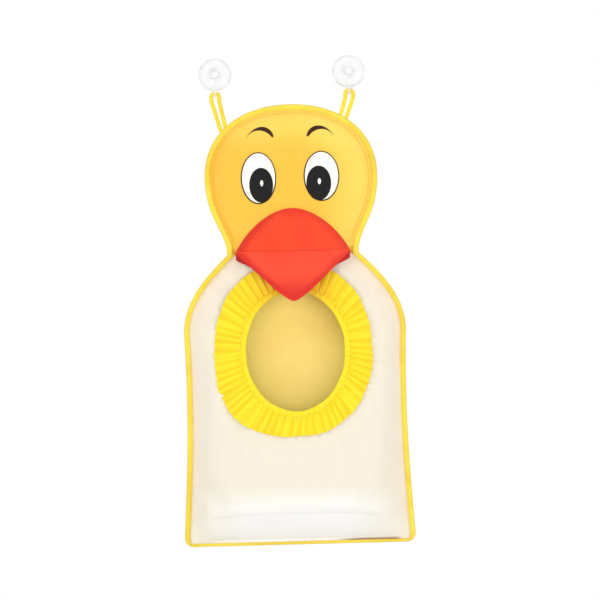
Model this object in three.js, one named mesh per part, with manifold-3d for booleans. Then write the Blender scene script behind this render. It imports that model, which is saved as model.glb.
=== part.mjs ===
// A duck shaped bath toy organizer that hangs on a tiled wall from two clear suction cups.
// Millimetres. X runs to the right, Z runs up and Y runs into the wall.
// The wall is the plane Y = 0, and the origin lies on it midway between the two cups.
import * as THREE from "three";
import { mergeVertices } from "three/addons/utils/BufferGeometryUtils.js";
import Module from "manifold-3d";

const wasm = await Module();
wasm.setup();

// Clearances that hold the whole model.
const GAP = 0.3;
const OVERRUN = 2;

// Suction cups, and where they sit on the wall.
const cup = {
  spacing: 161,
  shift: -8,
  lipRadius: 20,
  lipLand: 1.4,
  rimHeight: 1.3,
  bellDepth: 9.3,
  hollowDepth: 5.6,
  shoulderRadius: 7.4,
  neckRadius: 3.5,
  knobRadius: 5.4,
  knobThick: 3.2,
  knobRound: 0.8,
  facets: 30,
  curveSteps: 6,
};
// Where the curves of the cup's bell and hollow are pulled to, as shares of its radii and depths.
const bellLipRadiusShare = 0.8;
const bellLipDepthShare = 0.35;
const bellShoulderRadiusShare = 1.3;
const bellShoulderDepthShare = 0.8;
const hollowRadiusShare = 0.7;
const hollowDepthShare = 0.85;

// Clear plastic hooks that snap behind the knobs of the cups.
const hook = {
  thick: 2.4,
  plateRadius: 9,
  boreClearance: 0.4,
  armWidth: 3.8,
  chamfer: 0.8,
  armFlare: 9,
  drop: 23.4,
  throat: 2.95,
  tipRise: 7.2,
  plateFacets: 20,
  bendSteps: 8,
};
// How far down the sides of the hook's plate run into its arm, as a share of the plate's radius.
const hookWaistShare = 1.3;

// Yellow tape loops sewn to the head.
const loop = {
  tapeWidth: 4.4,
  tapeThick: 2.4,
  straight: 9,
  sideClearance: 0.4,
  baseGap: 1.1,
  baseX: 71,
  baseShift: -9,
  sewnLength: 20,
  archSteps: 10,
};

// Fabric layers, from the wall forward.
const fabric = {
  wallGap: 12.9,
  backThick: 2.5,
  faceThick: 1.5,
  meshThick: 1.2,
  seamInset: 1.5,
};

// Binding tape folded over the raw edges.
const binding = { width: 6.6, thick: 1.2 };

// Front outline of the bag, as half widths and heights.
const outline = {
  headTop: -38.5,
  headHalf: 103.8,
  headWideZ: -125,
  neckHalf: 79,
  neckZ: -218,
  shoulderHalf: 133.4,
  shoulderZ: -312,
  waistHalf: 130.7,
  flareHalf: 138.7,
  flareZ: -555,
  bottomZ: -567.5,
  cornerRadius: 11.5,
};

// How full the outline's curves are, as shares of the stretch that each one spans.
const headFullShare = 0.6;
const cheekDropShare = 0.54;
const neckRiseShare = 0.31;
const shoulderOutShare = 0.55;
const shoulderDownShare = 0.3;
const shoulderTuckShare = 0.4;
const waistUpperShare = 0.28;
const waistLowerShare = 0.53;

// Points on each stretch of the outline.
const steps = { crown: 12, cheek: 8, shoulder: 8, side: 12, corner: 4, bottom: 8, neck: 8 };

// Padded face and puffed pocket.
const face = { crown: 8, rimLand: 1.5, rimWidth: 24 };
// Where the rings of the face lie, as shares of the width over which its padding rises.
const faceRiseShares = [1, 0.66, 0.33, 0.16];
const pocket = {
  puff: 32,
  fullShare: 0.75,
  sideFullness: 2.2,
  sideRoundness: 0.75,
  foldZ: -529,
  foldDip: 16,
  foldDipPower: 3,
  rings: 6,
};
const gusset = { rings: 4, tuckPower: 1.35 };

// Round opening with its elastic, casing and gathered frill.
const opening = { centreZ: -334.7, halfX: 59, halfZ: 71.3 };
const casing = { width: 7.6, halfThick: 2.2, wall: 0.8, facets: 60 };
const elastic = { width: 2.2, halfThick: 1.1 };
const frill = {
  shift: -2.5,
  centreZ: -337.3,
  halfX: 95.4,
  halfZ: 99.7,
  thick: 1.2,
  gathers: 40,
  stepsPerGather: 4,
  gatherPhase: Math.PI / 4,
  seamLift: 2.5,
  crownLift: 7.2,
  edgeLift: 5,
};
// Rows of the frill from its seam outward: place, lift off the mesh and depth of the gathers.
const frillRows = [
  { acrossShare: 0, lift: frill.seamLift, wave: 0.7 },
  { acrossShare: 0.45, lift: frill.crownLift, wave: 2.3 },
  { acrossShare: 1, lift: frill.edgeLift, wave: 2.8 },
];

// Padded bill: an upper half sewn to the face and a flap that hangs over the opening.
const bill = {
  topZ: -163.5,
  cornerHalf: 70.4,
  cornerZ: -219,
  creaseZ: -215,
  tipZ: -274,
  tipHalf: 7,
  edgeThick: 2.2,
  padThick: 7.2,
  shell: 1.3,
  liningThick: 1,
  seat: 0.55,
  flapTilt: 30,
  tipSquareness: 12,
  rows: 7,
  columns: 12,
};
// Shares of the bill's outline, and how soon its padding is full, counted down from its seams.
const billTopFullShare = 0.37;
const billCornerFullXShare = 0.82;
const billCornerFullZShare = 0.48;
const billSidePadShare = 0.7;
const billTopRiseShare = 2;
const flapRiseShare = 3;

// Eyes and brows, bonded film on the face.
const film = { thick: 0.5, facets: 32 };
const eye = { x: 38, z: -126.8, halfX: 21, halfZ: 30.5 };
const pupil = { x: 35, z: -134.7, halfX: 13.6, halfZ: 20.6 };
const glint = { x: 34.7, z: -133, halfX: 1.9, halfZ: 3.6 };
const brow = { innerX: 21, innerZ: -78, peakX: 34, peakZ: -66.5, outerX: 51.5, outerZ: -76.5, thick: 5 };

// Width along the rim that lies flat inside the binding.
const rimFlat = binding.width + GAP * 2;

// Planes worked out from the layers.
const backRearY = -fabric.wallGap;
const backFrontY = backRearY - fabric.backThick;
const flangeRearY = backFrontY - GAP;
const flangeFrontY = flangeRearY - fabric.faceThick;
const meshFlangeY = flangeRearY - fabric.meshThick;
const bindingRearY = backRearY + GAP + binding.thick;
const bindingFrontY = flangeFrontY - GAP - binding.thick;
const loopY = (bindingRearY + bindingFrontY) / 2;
const faceFrontY = flangeFrontY - face.crown;

// Finishes.
const finishes = {
  golden: { color: "#fbc955", roughness: 0.8, metalness: 0 },
  lemon: { color: "#fbe02a", roughness: 0.75, metalness: 0 },
  tape: { color: "#fad838", roughness: 0.7, metalness: 0 },
  mesh: { color: "#f8f0e3", roughness: 0.85, metalness: 0 },
  red: { color: "#fb4b2c", roughness: 0.7, metalness: 0 },
  darkRed: { color: "#b81f1c", roughness: 0.8, metalness: 0 },
  foam: { color: "#f2efe6", roughness: 0.95, metalness: 0 },
  rubber: { color: "#f4f1ea", roughness: 0.8, metalness: 0 },
  white: { color: "#fcfcf2", roughness: 0.5, metalness: 0 },
  black: { color: "#1f1b19", roughness: 0.45, metalness: 0 },
  brown: { color: "#3a1c14", roughness: 0.5, metalness: 0 },
  vinyl: { color: "#e9eef0", roughness: 0.12, metalness: 0 },
  acrylic: { color: "#f2f5f6", roughness: 0.08, metalness: 0 },
};

const group = new THREE.Group();

// Puts a finished geometry into the model as a named mesh.
function place(name, geometry, finish) {
  const mesh = new THREE.Mesh(geometry, new THREE.MeshStandardMaterial(finishes[finish]));
  mesh.name = name;
  group.add(mesh);
  return mesh;
}

// Mirrors a list of right hand points to the left.
const mirrored = (points) => points.map((p) => new THREE.Vector2(-p.x, p.y));

const radians = (degrees) => THREE.MathUtils.degToRad(degrees);
const quarterTurn = Math.PI / 2;

// Six times the volume inside a triangle list, negative when its faces point inward.
function signedVolume(points, triangles) {
  const cross = new THREE.Vector3();
  return triangles.reduce((sum, [a, b, c]) => {
    cross.crossVectors(points[b], points[c]);
    return sum + points[a].dot(cross);
  }, 0);
}

// A closed geometry from points and triangles, turned so that its faces point out.
function closedGeometry(points, triangles) {
  const inward = signedVolume(points, triangles) < 0;
  const order = inward ? triangles.map(([a, b, c]) => [a, c, b]) : triangles;
  const geometry = new THREE.BufferGeometry();
  const flat = points.flatMap((p) => [p.x, p.y, p.z]);
  geometry.setAttribute("position", new THREE.Float32BufferAttribute(flat, 3));
  geometry.setIndex(order.flat());
  return geometry;
}

// Skins a list of closed rings of equal length, capped at both ends or joined into a loop.
function loft(rings, joined = false) {
  const size = rings[0].length;
  const points = rings.flat();
  const triangles = [];
  const last = joined ? rings.length : rings.length - 1;
  for (let i = 0; i < last; i += 1) {
    const here = i * size;
    const next = ((i + 1) % rings.length) * size;
    for (let j = 0; j < size; j += 1) {
      const k = (j + 1) % size;
      triangles.push([here + j, next + j, next + k], [here + j, next + k, here + k]);
    }
  }
  if (!joined) {
    triangles.push(...cap(rings[0], 0, false));
    triangles.push(...cap(rings[rings.length - 1], (rings.length - 1) * size, true));
  }
  return closedGeometry(points, triangles);
}

// Triangles that close one ring of a loft.
function cap(ring, start, flipped) {
  const origin = ring[0];
  const u = new THREE.Vector3().subVectors(ring[1], origin).normalize();
  const normal = new THREE.Vector3();
  ring.forEach((p, i) => {
    const q = ring[(i + 1) % ring.length];
    normal.add(new THREE.Vector3().crossVectors(p.clone().sub(origin), q.clone().sub(origin)));
  });
  const v = new THREE.Vector3().crossVectors(normal.normalize(), u);
  const flat = ring.map((p) => {
    const r = p.clone().sub(origin);
    return new THREE.Vector2(r.dot(u), r.dot(v));
  });
  const faces = THREE.ShapeUtils.triangulateShape(flat, []);
  const turned = flipped ? faces.map(([a, b, c]) => [a, c, b]) : faces;
  return turned.map((face3) => face3.map((i) => start + i));
}

// A sheet with thickness: front and back are grids of points with the same rows and columns.
// Columns join round when wrapped is set.
function sheet(front, back, wrapped) {
  const rows = front.length;
  const columns = front[0].length;
  const points = [...front.flat(), ...back.flat()];
  const backStart = rows * columns;
  const triangles = [];
  const index = (i, j) => i * columns + (j % columns);
  const lastColumn = wrapped ? columns : columns - 1;
  const wall = (a, b) => {
    triangles.push([a, b, backStart + b], [a, backStart + b, backStart + a]);
  };
  for (let i = 0; i < rows - 1; i += 1) {
    for (let j = 0; j < lastColumn; j += 1) {
      const [a, b, c, d] = [index(i, j), index(i, j + 1), index(i + 1, j + 1), index(i + 1, j)];
      triangles.push([a, c, b], [a, d, c]);
      triangles.push([backStart + a, backStart + b, backStart + c]);
      triangles.push([backStart + a, backStart + c, backStart + d]);
    }
  }
  for (let j = 0; j < lastColumn; j += 1) {
    wall(index(0, j), index(0, j + 1));
    wall(index(rows - 1, j + 1), index(rows - 1, j));
  }
  if (!wrapped) {
    for (let i = 0; i < rows - 1; i += 1) {
      wall(index(i + 1, 0), index(i, 0));
      wall(index(i, columns - 1), index(i + 1, columns - 1));
    }
  }
  return closedGeometry(points, triangles);
}

// A disc of fabric or foam: flat rings listed from the inside out, closed at a centre point.
function disc(rings, centre, frontY, backY) {
  const lifted = (p, heightAt) => new THREE.Vector3(p.x, heightAt(p.x, p.y), p.y);
  const raised = (heightAt) => rings.map((ring) => ring.map((p) => lifted(p, heightAt)));
  const front = raised(frontY);
  const back = raised(backY);
  const size = rings[0].length;
  const points = [...front.flat(), ...back.flat()];
  const backStart = front.length * size;
  const poleFront = points.push(lifted(centre, frontY)) - 1;
  const poleBack = points.push(lifted(centre, backY)) - 1;
  const rim = (rings.length - 1) * size;
  const triangles = [];
  for (let j = 0; j < size; j += 1) {
    const k = (j + 1) % size;
    triangles.push([poleFront, j, k], [poleBack, backStart + k, backStart + j]);
    for (let i = 0; i < rings.length - 1; i += 1) {
      const [a, b, c, d] = [i * size + j, (i + 1) * size + j, (i + 1) * size + k, i * size + k];
      triangles.push([a, b, c], [a, c, d]);
      triangles.push([backStart + a, backStart + c, backStart + b]);
      triangles.push([backStart + a, backStart + d, backStart + c]);
    }
    triangles.push([rim + j, backStart + rim + j, backStart + rim + k]);
    triangles.push([rim + j, backStart + rim + k, rim + k]);
  }
  return closedGeometry(points, triangles);
}

// Turns a geometry into a solid that can be joined and cut.
function solid(geometry) {
  const bare = geometry.clone();
  bare.deleteAttribute("normal");
  bare.deleteAttribute("uv");
  const merged = mergeVertices(bare);
  const vertProperties = new Float32Array(merged.attributes.position.array);
  const triVerts = new Uint32Array(merged.index.array);
  return new wasm.Manifold(new wasm.Mesh({ numProp: 3, vertProperties, triVerts }));
}

// Turns a solid back into a geometry.
function geometryOf(shape) {
  const mesh = shape.getMesh();
  const geometry = new THREE.BufferGeometry();
  const positions = new Float32Array(mesh.vertProperties);
  const corners = new Uint32Array(mesh.triVerts);
  geometry.setAttribute("position", new THREE.BufferAttribute(positions, 3));
  geometry.setIndex(new THREE.BufferAttribute(corners, 1));
  return geometry;
}

const cut = (body, tool) => geometryOf(solid(body).subtract(solid(tool)));
const join = (a, b) => geometryOf(solid(a).add(solid(b)));

// A flat plate with the given front outline, from its rear plane forward.
function plate(points, rearY, thick) {
  const settings = { depth: thick, bevelEnabled: false };
  const geometry = new THREE.ExtrudeGeometry(new THREE.Shape(points), settings);
  geometry.rotateX(quarterTurn);
  geometry.translate(0, rearY, 0);
  return geometry;
}

// Right half of the head outline, from the top centre down to the neck.
function rightHead() {
  const o = outline;
  const fall = o.headTop - o.headWideZ;
  const crown = new THREE.CubicBezierCurve(
    new THREE.Vector2(0, o.headTop),
    new THREE.Vector2(o.headHalf * headFullShare, o.headTop),
    new THREE.Vector2(o.headHalf, o.headWideZ + fall * headFullShare),
    new THREE.Vector2(o.headHalf, o.headWideZ),
  );
  const drop = o.headWideZ - o.neckZ;
  const cheek = new THREE.CubicBezierCurve(
    new THREE.Vector2(o.headHalf, o.headWideZ),
    new THREE.Vector2(o.headHalf, o.headWideZ - drop * cheekDropShare),
    new THREE.Vector2(o.neckHalf, o.neckZ + drop * neckRiseShare),
    new THREE.Vector2(o.neckHalf, o.neckZ),
  );
  return [...crown.getPoints(steps.crown), ...cheek.getPoints(steps.cheek).slice(1)];
}

// Right half of the body outline, from the neck down to the bottom centre.
function rightBody() {
  const o = outline;
  const wide = o.shoulderHalf - o.neckHalf;
  const drop = o.neckZ - o.shoulderZ;
  const shoulder = new THREE.CubicBezierCurve(
    new THREE.Vector2(o.neckHalf, o.neckZ),
    new THREE.Vector2(o.neckHalf + wide * shoulderOutShare, o.neckZ - drop * shoulderDownShare),
    new THREE.Vector2(o.shoulderHalf, o.shoulderZ + drop * shoulderTuckShare),
    new THREE.Vector2(o.shoulderHalf, o.shoulderZ),
  );
  const fall = o.shoulderZ - o.flareZ;
  const side = new THREE.CubicBezierCurve(
    new THREE.Vector2(o.shoulderHalf, o.shoulderZ),
    new THREE.Vector2(o.waistHalf, o.shoulderZ - fall * waistUpperShare),
    new THREE.Vector2(o.waistHalf, o.shoulderZ - fall * waistLowerShare),
    new THREE.Vector2(o.flareHalf, o.flareZ),
  );
  const corner = new THREE.QuadraticBezierCurve(
    new THREE.Vector2(o.flareHalf, o.flareZ),
    new THREE.Vector2(o.flareHalf, o.bottomZ),
    new THREE.Vector2(o.flareHalf - o.cornerRadius, o.bottomZ),
  );
  const bottom = new THREE.LineCurve(
    new THREE.Vector2(o.flareHalf - o.cornerRadius, o.bottomZ),
    new THREE.Vector2(0, o.bottomZ),
  );
  return [
    ...shoulder.getPoints(steps.shoulder),
    ...side.getPoints(steps.side).slice(1),
    ...corner.getPoints(steps.corner).slice(1),
    ...bottom.getPoints(steps.bottom).slice(1),
  ];
}

const headRight = rightHead();
const bodyRight = rightBody();
// From the left side of the neck over the head, and from the right side round the bottom.
const headPath = [...mirrored(headRight).reverse(), ...headRight.slice(1)];
const bodyPath = [...bodyRight, ...mirrored(bodyRight).reverse().slice(1)];
const bagPath = [...headPath, ...bodyPath.slice(1, -1)];

// Cosine of the half turn past which an offset corner is cut short.
const sharpestMiter = 0.5;

// Normals of a clockwise path that point to its inside, long enough to keep offsets parallel.
function inwardNormals(path, closed) {
  return path.map((p, i) => {
    const before = path[closed ? (i + path.length - 1) % path.length : Math.max(0, i - 1)];
    const after = path[closed ? (i + 1) % path.length : Math.min(path.length - 1, i + 1)];
    const a = p === before ? after.clone().sub(p) : p.clone().sub(before);
    const b = p === after ? a.clone() : after.clone().sub(p);
    const n = a.normalize().clone().add(b.normalize()).normalize();
    const miter = Math.max(sharpestMiter, n.dot(a));
    return new THREE.Vector2(n.y, -n.x).divideScalar(miter);
  });
}

// A path moved to its inside by a distance.
function inset(path, distance, closed) {
  const normals = inwardNormals(path, closed);
  return path.map((p, i) => p.clone().addScaledVector(normals[i], distance));
}

// Distance from a point to the bag's outline.
function rimDistance(x, z) {
  const p = new THREE.Vector2(x, z);
  const along = new THREE.Vector2();
  return bagPath.reduce((least, a, i) => {
    const b = bagPath[(i + 1) % bagPath.length];
    along.subVectors(b, a);
    const share = THREE.MathUtils.clamp(p.clone().sub(a).dot(along) / along.lengthSq(), 0, 1);
    return Math.min(least, p.distanceTo(a.clone().addScaledVector(along, share)));
  }, Infinity);
}

// How far the padding has risen at a place, from 0 at the binding to 1 inside the rim.
function rimRise(x, z) {
  const past = rimDistance(x, z) - rimFlat - face.rimLand;
  const inside = THREE.MathUtils.clamp(past / face.rimWidth, 0, 1);
  return Math.sin((Math.PI / 2) * inside);
}

// Half width of the body at a height.
function bodyHalf(z) {
  const index = bodyRight.findIndex((p) => p.y <= z);
  if (index <= 0) return index === 0 ? outline.neckHalf : outline.flareHalf;
  const [a, b] = [bodyRight[index - 1], bodyRight[index]];
  return THREE.MathUtils.lerp(a.x, b.x, (a.y - z) / (a.y - b.y));
}

// Front surface of the padded face.
const faceY = (x, z) => flangeFrontY - face.crown * rimRise(x, z);

// Front surface of the mesh pocket, which puffs out below the neck.
function meshY(x, z) {
  const down = THREE.MathUtils.clamp((outline.neckZ - z) / (outline.neckZ - pocket.foldZ), 0, 1);
  const puff = pocket.puff * Math.sin((Math.PI / 2) * Math.min(1, down / pocket.fullShare));
  const side = Math.min(1, Math.abs(x) / (bodyHalf(z) - rimFlat));
  const spread = (1 - side ** pocket.sideFullness) ** pocket.sideRoundness;
  const rise = rimRise(x, z);
  return meshFlangeY - (face.crown + puff * spread) * rise;
}

// Binding tape folded over an edge: a channel carried along the path.
function bindingGeometry(path) {
  const { width, thick } = binding;
  const section = [
    [0, bindingRearY],
    [0, bindingFrontY],
    [width, bindingFrontY],
    [width, bindingFrontY + thick],
    [thick, bindingFrontY + thick],
    [thick, bindingRearY - thick],
    [width, bindingRearY - thick],
    [width, bindingRearY],
  ];
  const normals = inwardNormals(path, false);
  const rings = path.map((p, i) =>
    section.map(([inward, y]) => {
      const q = p.clone().addScaledVector(normals[i], inward);
      return new THREE.Vector3(q.x, y, q.y);
    }),
  );
  return loft(rings);
}

// The same path with each end pulled back by half a gap.
function trimmed(path) {
  const points = path.map((p) => p.clone());
  const shorten = (end, next) => end.lerp(next, GAP / end.distanceTo(next));
  shorten(points[0], points[1]);
  shorten(points[points.length - 1], points[points.length - 2]);
  return points;
}

// Points between two places on the rim, ends left out, with the first and last just inside the binding.
function across(a, b, count) {
  const margin = (rimFlat + GAP) / a.distanceTo(b);
  const shareOf = (i) => THREE.MathUtils.lerp(margin, 1 - margin, i / (count - 2));
  return Array.from({ length: count - 1 }, (unused, i) => a.clone().lerp(b, shareOf(i)));
}

function makePanels() {
  const panelPath = inset(bagPath, fabric.seamInset, true);
  place("back_panel", plate(panelPath, backRearY, fabric.backThick), "golden");
  place("head_binding", bindingGeometry(trimmed(headPath)), "tape");
  place("body_binding", bindingGeometry(trimmed(bodyPath)), "tape");
}

function makeFace() {
  const seam = across(headPath[headPath.length - 1], headPath[0], steps.neck);
  const region = [...headPath, ...seam];
  const centre = new THREE.Vector2(0, outline.headWideZ);
  const edge = inset(region, fabric.seamInset, true);
  const flat = inset(region, rimFlat, true);
  const reach = outline.headHalf - rimFlat;
  const slope = faceRiseShares.map((share) => {
    const toCentre = (share * face.rimWidth) / reach;
    return flat.map((p) => p.clone().lerp(centre, toCentre));
  });
  const rear = (x, z) => faceY(x, z) + fabric.faceThick;
  place("face_panel", disc([...slope, flat, edge], centre, faceY, rear), "golden");
  const foamFront = (x, z) => rear(x, z) + GAP;
  place("head_foam", disc(slope, centre, foamFront, () => flangeRearY), "foam");
}

// A point of an ellipse at a polar angle seen from its centre.
function ellipseAt(angle, halfX, halfZ, centreZ) {
  const reach = 1 / Math.hypot(Math.cos(angle) / halfX, Math.sin(angle) / halfZ);
  return new THREE.Vector2(Math.cos(angle) * reach, centreZ + Math.sin(angle) * reach);
}

// Height of the line where the front of the pocket turns under.
function foldHeight(x) {
  const side = Math.min(1, Math.abs(x) / outline.flareHalf);
  return pocket.foldZ - pocket.foldDip * side ** pocket.foldDipPower;
}

// Height at which the line where the pocket turns under meets the side binding.
const foldSideZ = pocket.foldZ - pocket.foldDip;

// Outline of the front of the pocket: the sides, the line where it turns under and the neck.
function pocketRegion() {
  const corner = new THREE.Vector2(bodyHalf(foldSideZ), foldSideZ);
  const side = bodyRight.filter((p) => p.y > foldSideZ + rimFlat);
  const right = [...side.map((p) => p.clone()), corner];
  right[0].y -= GAP * 2;
  const left = mirrored(right).reverse();
  const flatten = (p) => new THREE.Vector2(p.x, foldHeight(p.x));
  const fold = across(corner, left[0], 2 * steps.bottom).map(flatten);
  const neckLine = across(left[left.length - 1], right[0], steps.neck);
  return [...right, ...fold, ...left, ...neckLine];
}

function makePocket() {
  const region = pocketRegion();
  const edge = inset(region, fabric.seamInset, true);
  // Near the fold's ends the inset would run under the binding again, so it is held back there.
  const flat = inset(region, rimFlat, true).map((p) => {
    const most = bodyHalf(p.y) - rimFlat;
    return new THREE.Vector2(THREE.MathUtils.clamp(p.x, -most, most), p.y);
  });
  const margin = casing.wall + elastic.width + GAP * 4;
  const hole = flat.map((p) => {
    const angle = Math.atan2(p.y - opening.centreZ, p.x);
    return ellipseAt(angle, opening.halfX + margin, opening.halfZ + margin, opening.centreZ);
  });
  const inner = Array.from({ length: pocket.rings }, (unused, i) => {
    const share = i / (pocket.rings - 1);
    return hole.map((p, j) => p.clone().lerp(flat[j], share));
  });
  const rowsOf = (lift) =>
    [...inner, edge].map((ring) => ring.map((p) => new THREE.Vector3(p.x, meshY(p.x, p.y) + lift, p.y)));
  place("pocket_mesh", sheet(rowsOf(0), rowsOf(fabric.meshThick), true), "mesh");
}

// The strip that closes the pocket below, from the fold back to the binding.
function makeGusset() {
  const startZ = foldSideZ - fabric.seamInset;
  const start = new THREE.Vector2(bodyHalf(startZ), startZ);
  const right = [start, ...bodyRight.filter((p) => p.y < startZ - fabric.seamInset)];
  const path = [...right, ...mirrored(right).reverse().slice(1)];
  const edge = inset(path, fabric.seamInset, false);
  const flat = inset(path, rimFlat, false);
  const shares = Array.from({ length: gusset.rings + 1 }, (unused, i) => i / gusset.rings);
  const topOf = (p) => Math.max(p.y + GAP, foldHeight(p.x)) - GAP * 2;
  const slopes = (lift) =>
    shares.map((share) =>
      flat.map((p) => {
        const y = THREE.MathUtils.lerp(meshY(p.x, topOf(p)), meshFlangeY, share ** gusset.tuckPower);
        return new THREE.Vector3(p.x, y + lift, THREE.MathUtils.lerp(topOf(p), p.y, share));
      }),
    );
  const flange = (lift) => edge.map((p) => new THREE.Vector3(p.x, meshFlangeY + lift, p.y));
  const rowsOf = (lift) => [...slopes(lift), flange(lift)];
  place("bottom_gusset", sheet(rowsOf(0), rowsOf(fabric.meshThick), false), "mesh");
}

// Rings round the opening that follow the mesh: a section of outward steps and lifts toward the viewer.
function openingRing(section, facets) {
  const middle = fabric.meshThick / 2;
  const rings = Array.from({ length: facets }, (unused, i) => {
    const angle = (2 * Math.PI * i) / facets;
    return section.map(([outward, lift]) => {
      const p = ellipseAt(angle, opening.halfX + outward, opening.halfZ + outward, opening.centreZ);
      return new THREE.Vector3(p.x, meshY(p.x, p.y) + middle - lift, p.y);
    });
  });
  return loft(rings, true);
}

function makeOpening() {
  const { width, halfThick, wall, facets } = casing;
  const channel = [
    [0, -halfThick],
    [0, halfThick],
    [width, halfThick],
    [width, halfThick - wall],
    [wall, halfThick - wall],
    [wall, wall - halfThick],
    [width, wall - halfThick],
    [width, -halfThick],
  ];
  place("opening_casing", openingRing(channel, facets), "lemon");
  const inner = wall + GAP;
  const outer = inner + elastic.width - GAP;
  const band = [
    [inner, -elastic.halfThick],
    [inner, elastic.halfThick],
    [outer, elastic.halfThick],
    [outer, -elastic.halfThick],
  ];
  place("opening_elastic", openingRing(band, facets), "rubber");
}

function makeFrill() {
  const columns = frill.gathers * frill.stepsPerGather;
  const seam = casing.width + GAP;
  const rowsOf = (back) =>
    frillRows.map(({ acrossShare, lift, wave }) =>
      Array.from({ length: columns }, (unused, i) => {
        const angle = (2 * Math.PI * i) / columns;
        const inner = ellipseAt(angle, opening.halfX + seam, opening.halfZ + seam, opening.centreZ);
        const outer = ellipseAt(angle, frill.halfX, frill.halfZ, frill.centreZ);
        outer.x += frill.shift;
        const p = inner.lerp(outer, acrossShare);
        const gather = wave * Math.sin((2 * Math.PI * i) / frill.stepsPerGather + frill.gatherPhase);
        return new THREE.Vector3(p.x, meshY(p.x, p.y) - lift - gather + back, p.y);
      }),
    );
  place("opening_frill", sheet(rowsOf(0), rowsOf(frill.thick), true), "lemon");
}

// Half width of the upper bill at a height, read from its curved edge.
const billEdge = new THREE.CubicBezierCurve(
  new THREE.Vector2(0, bill.topZ),
  new THREE.Vector2(bill.cornerHalf * billTopFullShare, bill.topZ),
  new THREE.Vector2(
    bill.cornerHalf * billCornerFullXShare,
    THREE.MathUtils.lerp(bill.topZ, bill.cornerZ, billCornerFullZShare),
  ),
  new THREE.Vector2(bill.cornerHalf, bill.cornerZ),
).getPoints(bill.columns * 2);

function billTopHalf(z) {
  const index = billEdge.findIndex((p) => p.y <= z);
  const [a, b] = [billEdge[index - 1], billEdge[index]];
  return THREE.MathUtils.lerp(a.x, b.x, (a.y - z) / (a.y - b.y));
}

// Padding of the bill across its width and from its sewn edge.
function padding(side, depthShare) {
  const across = Math.sqrt(1 - side ** 2 * billSidePadShare);
  const crown = across * Math.sin((Math.PI / 2) * Math.min(1, depthShare));
  return bill.edgeThick + (bill.padThick - bill.edgeThick) * crown;
}

// Grid of the upper bill: lift is how far a surface stands in front of the face.
function billTopGrid(margin, liftAt) {
  const top = bill.topZ - (bill.topZ - bill.creaseZ) / (bill.rows * 2) - margin;
  const bottom = bill.creaseZ + GAP + margin;
  return Array.from({ length: bill.rows + 1 }, (unused, i) => {
    const z = THREE.MathUtils.lerp(top, bottom, i / bill.rows);
    const half = billTopHalf(z) - margin;
    return Array.from({ length: bill.columns + 1 }, (unusedToo, j) => {
      const side = (2 * j) / bill.columns - 1;
      const x = side * half;
      const depth = (bill.topZ - z) / (bill.topZ - bill.creaseZ);
      return new THREE.Vector3(x, faceY(x, z) - bill.seat - liftAt(side, depth * billTopRiseShare), z);
    });
  });
}

// Half width of the flap at a distance down it, with a rounded tip.
function flapHalf(share) {
  const straight = THREE.MathUtils.lerp(bill.cornerHalf - GAP, bill.tipHalf, share);
  return straight * Math.sqrt(Math.max(0, 1 - share ** bill.tipSquareness)) + GAP;
}

// Grid of the flap, which hangs forward from the crease.
function flapGrid(margin, liftAt) {
  const lean = radians(bill.flapTilt);
  const hingeY = faceFrontY - GAP;
  const drop = bill.creaseZ - bill.tipZ;
  return Array.from({ length: bill.rows + 1 }, (unused, i) => {
    const share = THREE.MathUtils.lerp(margin / drop, 1 - margin / drop, i / bill.rows);
    const half = Math.max(bill.tipHalf / 2, flapHalf(share) - margin * 2);
    return Array.from({ length: bill.columns + 1 }, (unusedToo, j) => {
      const side = (2 * j) / bill.columns - 1;
      const x = side * half;
      const lift = liftAt(side, (1 - share) * flapRiseShare);
      const y = hingeY - share * drop * Math.tan(lean) - lift * Math.cos(lean);
      const z = bill.creaseZ - share * drop - lift * Math.sin(lean) * share;
      return new THREE.Vector3(x, y, z);
    });
  });
}

function makeBill() {
  const shellRear = () => 0;
  const foamRear = () => bill.shell;
  const foamFront = (side, depth) => Math.max(bill.shell * 2, padding(side, depth) - bill.shell);
  const gapped = (at) => (side, depth) => at(side, depth) - GAP;
  const loose = (at) => (side, depth) => at(side, depth) + GAP;
  const foamMargin = bill.shell + bill.edgeThick;
  const hollowMargin = foamMargin - GAP;

  const behind = () => -OVERRUN;
  const topSkin = sheet(billTopGrid(0, padding), billTopGrid(0, shellRear), false);
  const topHollow = sheet(billTopGrid(hollowMargin, foamFront), billTopGrid(hollowMargin, behind), false);
  const topFoamFront = billTopGrid(foamMargin, gapped(foamFront));
  const topFoam = sheet(topFoamFront, billTopGrid(foamMargin, shellRear), false);
  place("bill_top", cut(topSkin, topHollow), "red");
  place("bill_top_foam", topFoam, "foam");

  const liningFront = () => bill.liningThick;
  const skinRear = () => bill.liningThick + GAP;
  const flapSkin = sheet(flapGrid(0, padding), flapGrid(0, skinRear), false);
  const flapHollow = sheet(flapGrid(hollowMargin, foamFront), flapGrid(hollowMargin, behind), false);
  const flapFoamFront = flapGrid(foamMargin, gapped(foamFront));
  const flapFoam = sheet(flapFoamFront, flapGrid(foamMargin, loose(foamRear)), false);
  place("bill_flap", cut(flapSkin, flapHollow), "red");
  place("bill_flap_foam", flapFoam, "foam");
  place("bill_lining", sheet(flapGrid(0, liningFront), flapGrid(0, shellRear), false), "darkRed");
}

// A film disc bonded to the face, at a layer counted from the cloth.
function filmOval(name, shape, side, layer, finish) {
  const rearY = faceFrontY - GAP - layer * (film.thick + GAP);
  const oval = new THREE.EllipseCurve(side * shape.x, shape.z, shape.halfX, shape.halfZ);
  const points = oval.getPoints(film.facets);
  place(name, plate(points.slice(0, -1), rearY, film.thick), finish);
}

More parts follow.
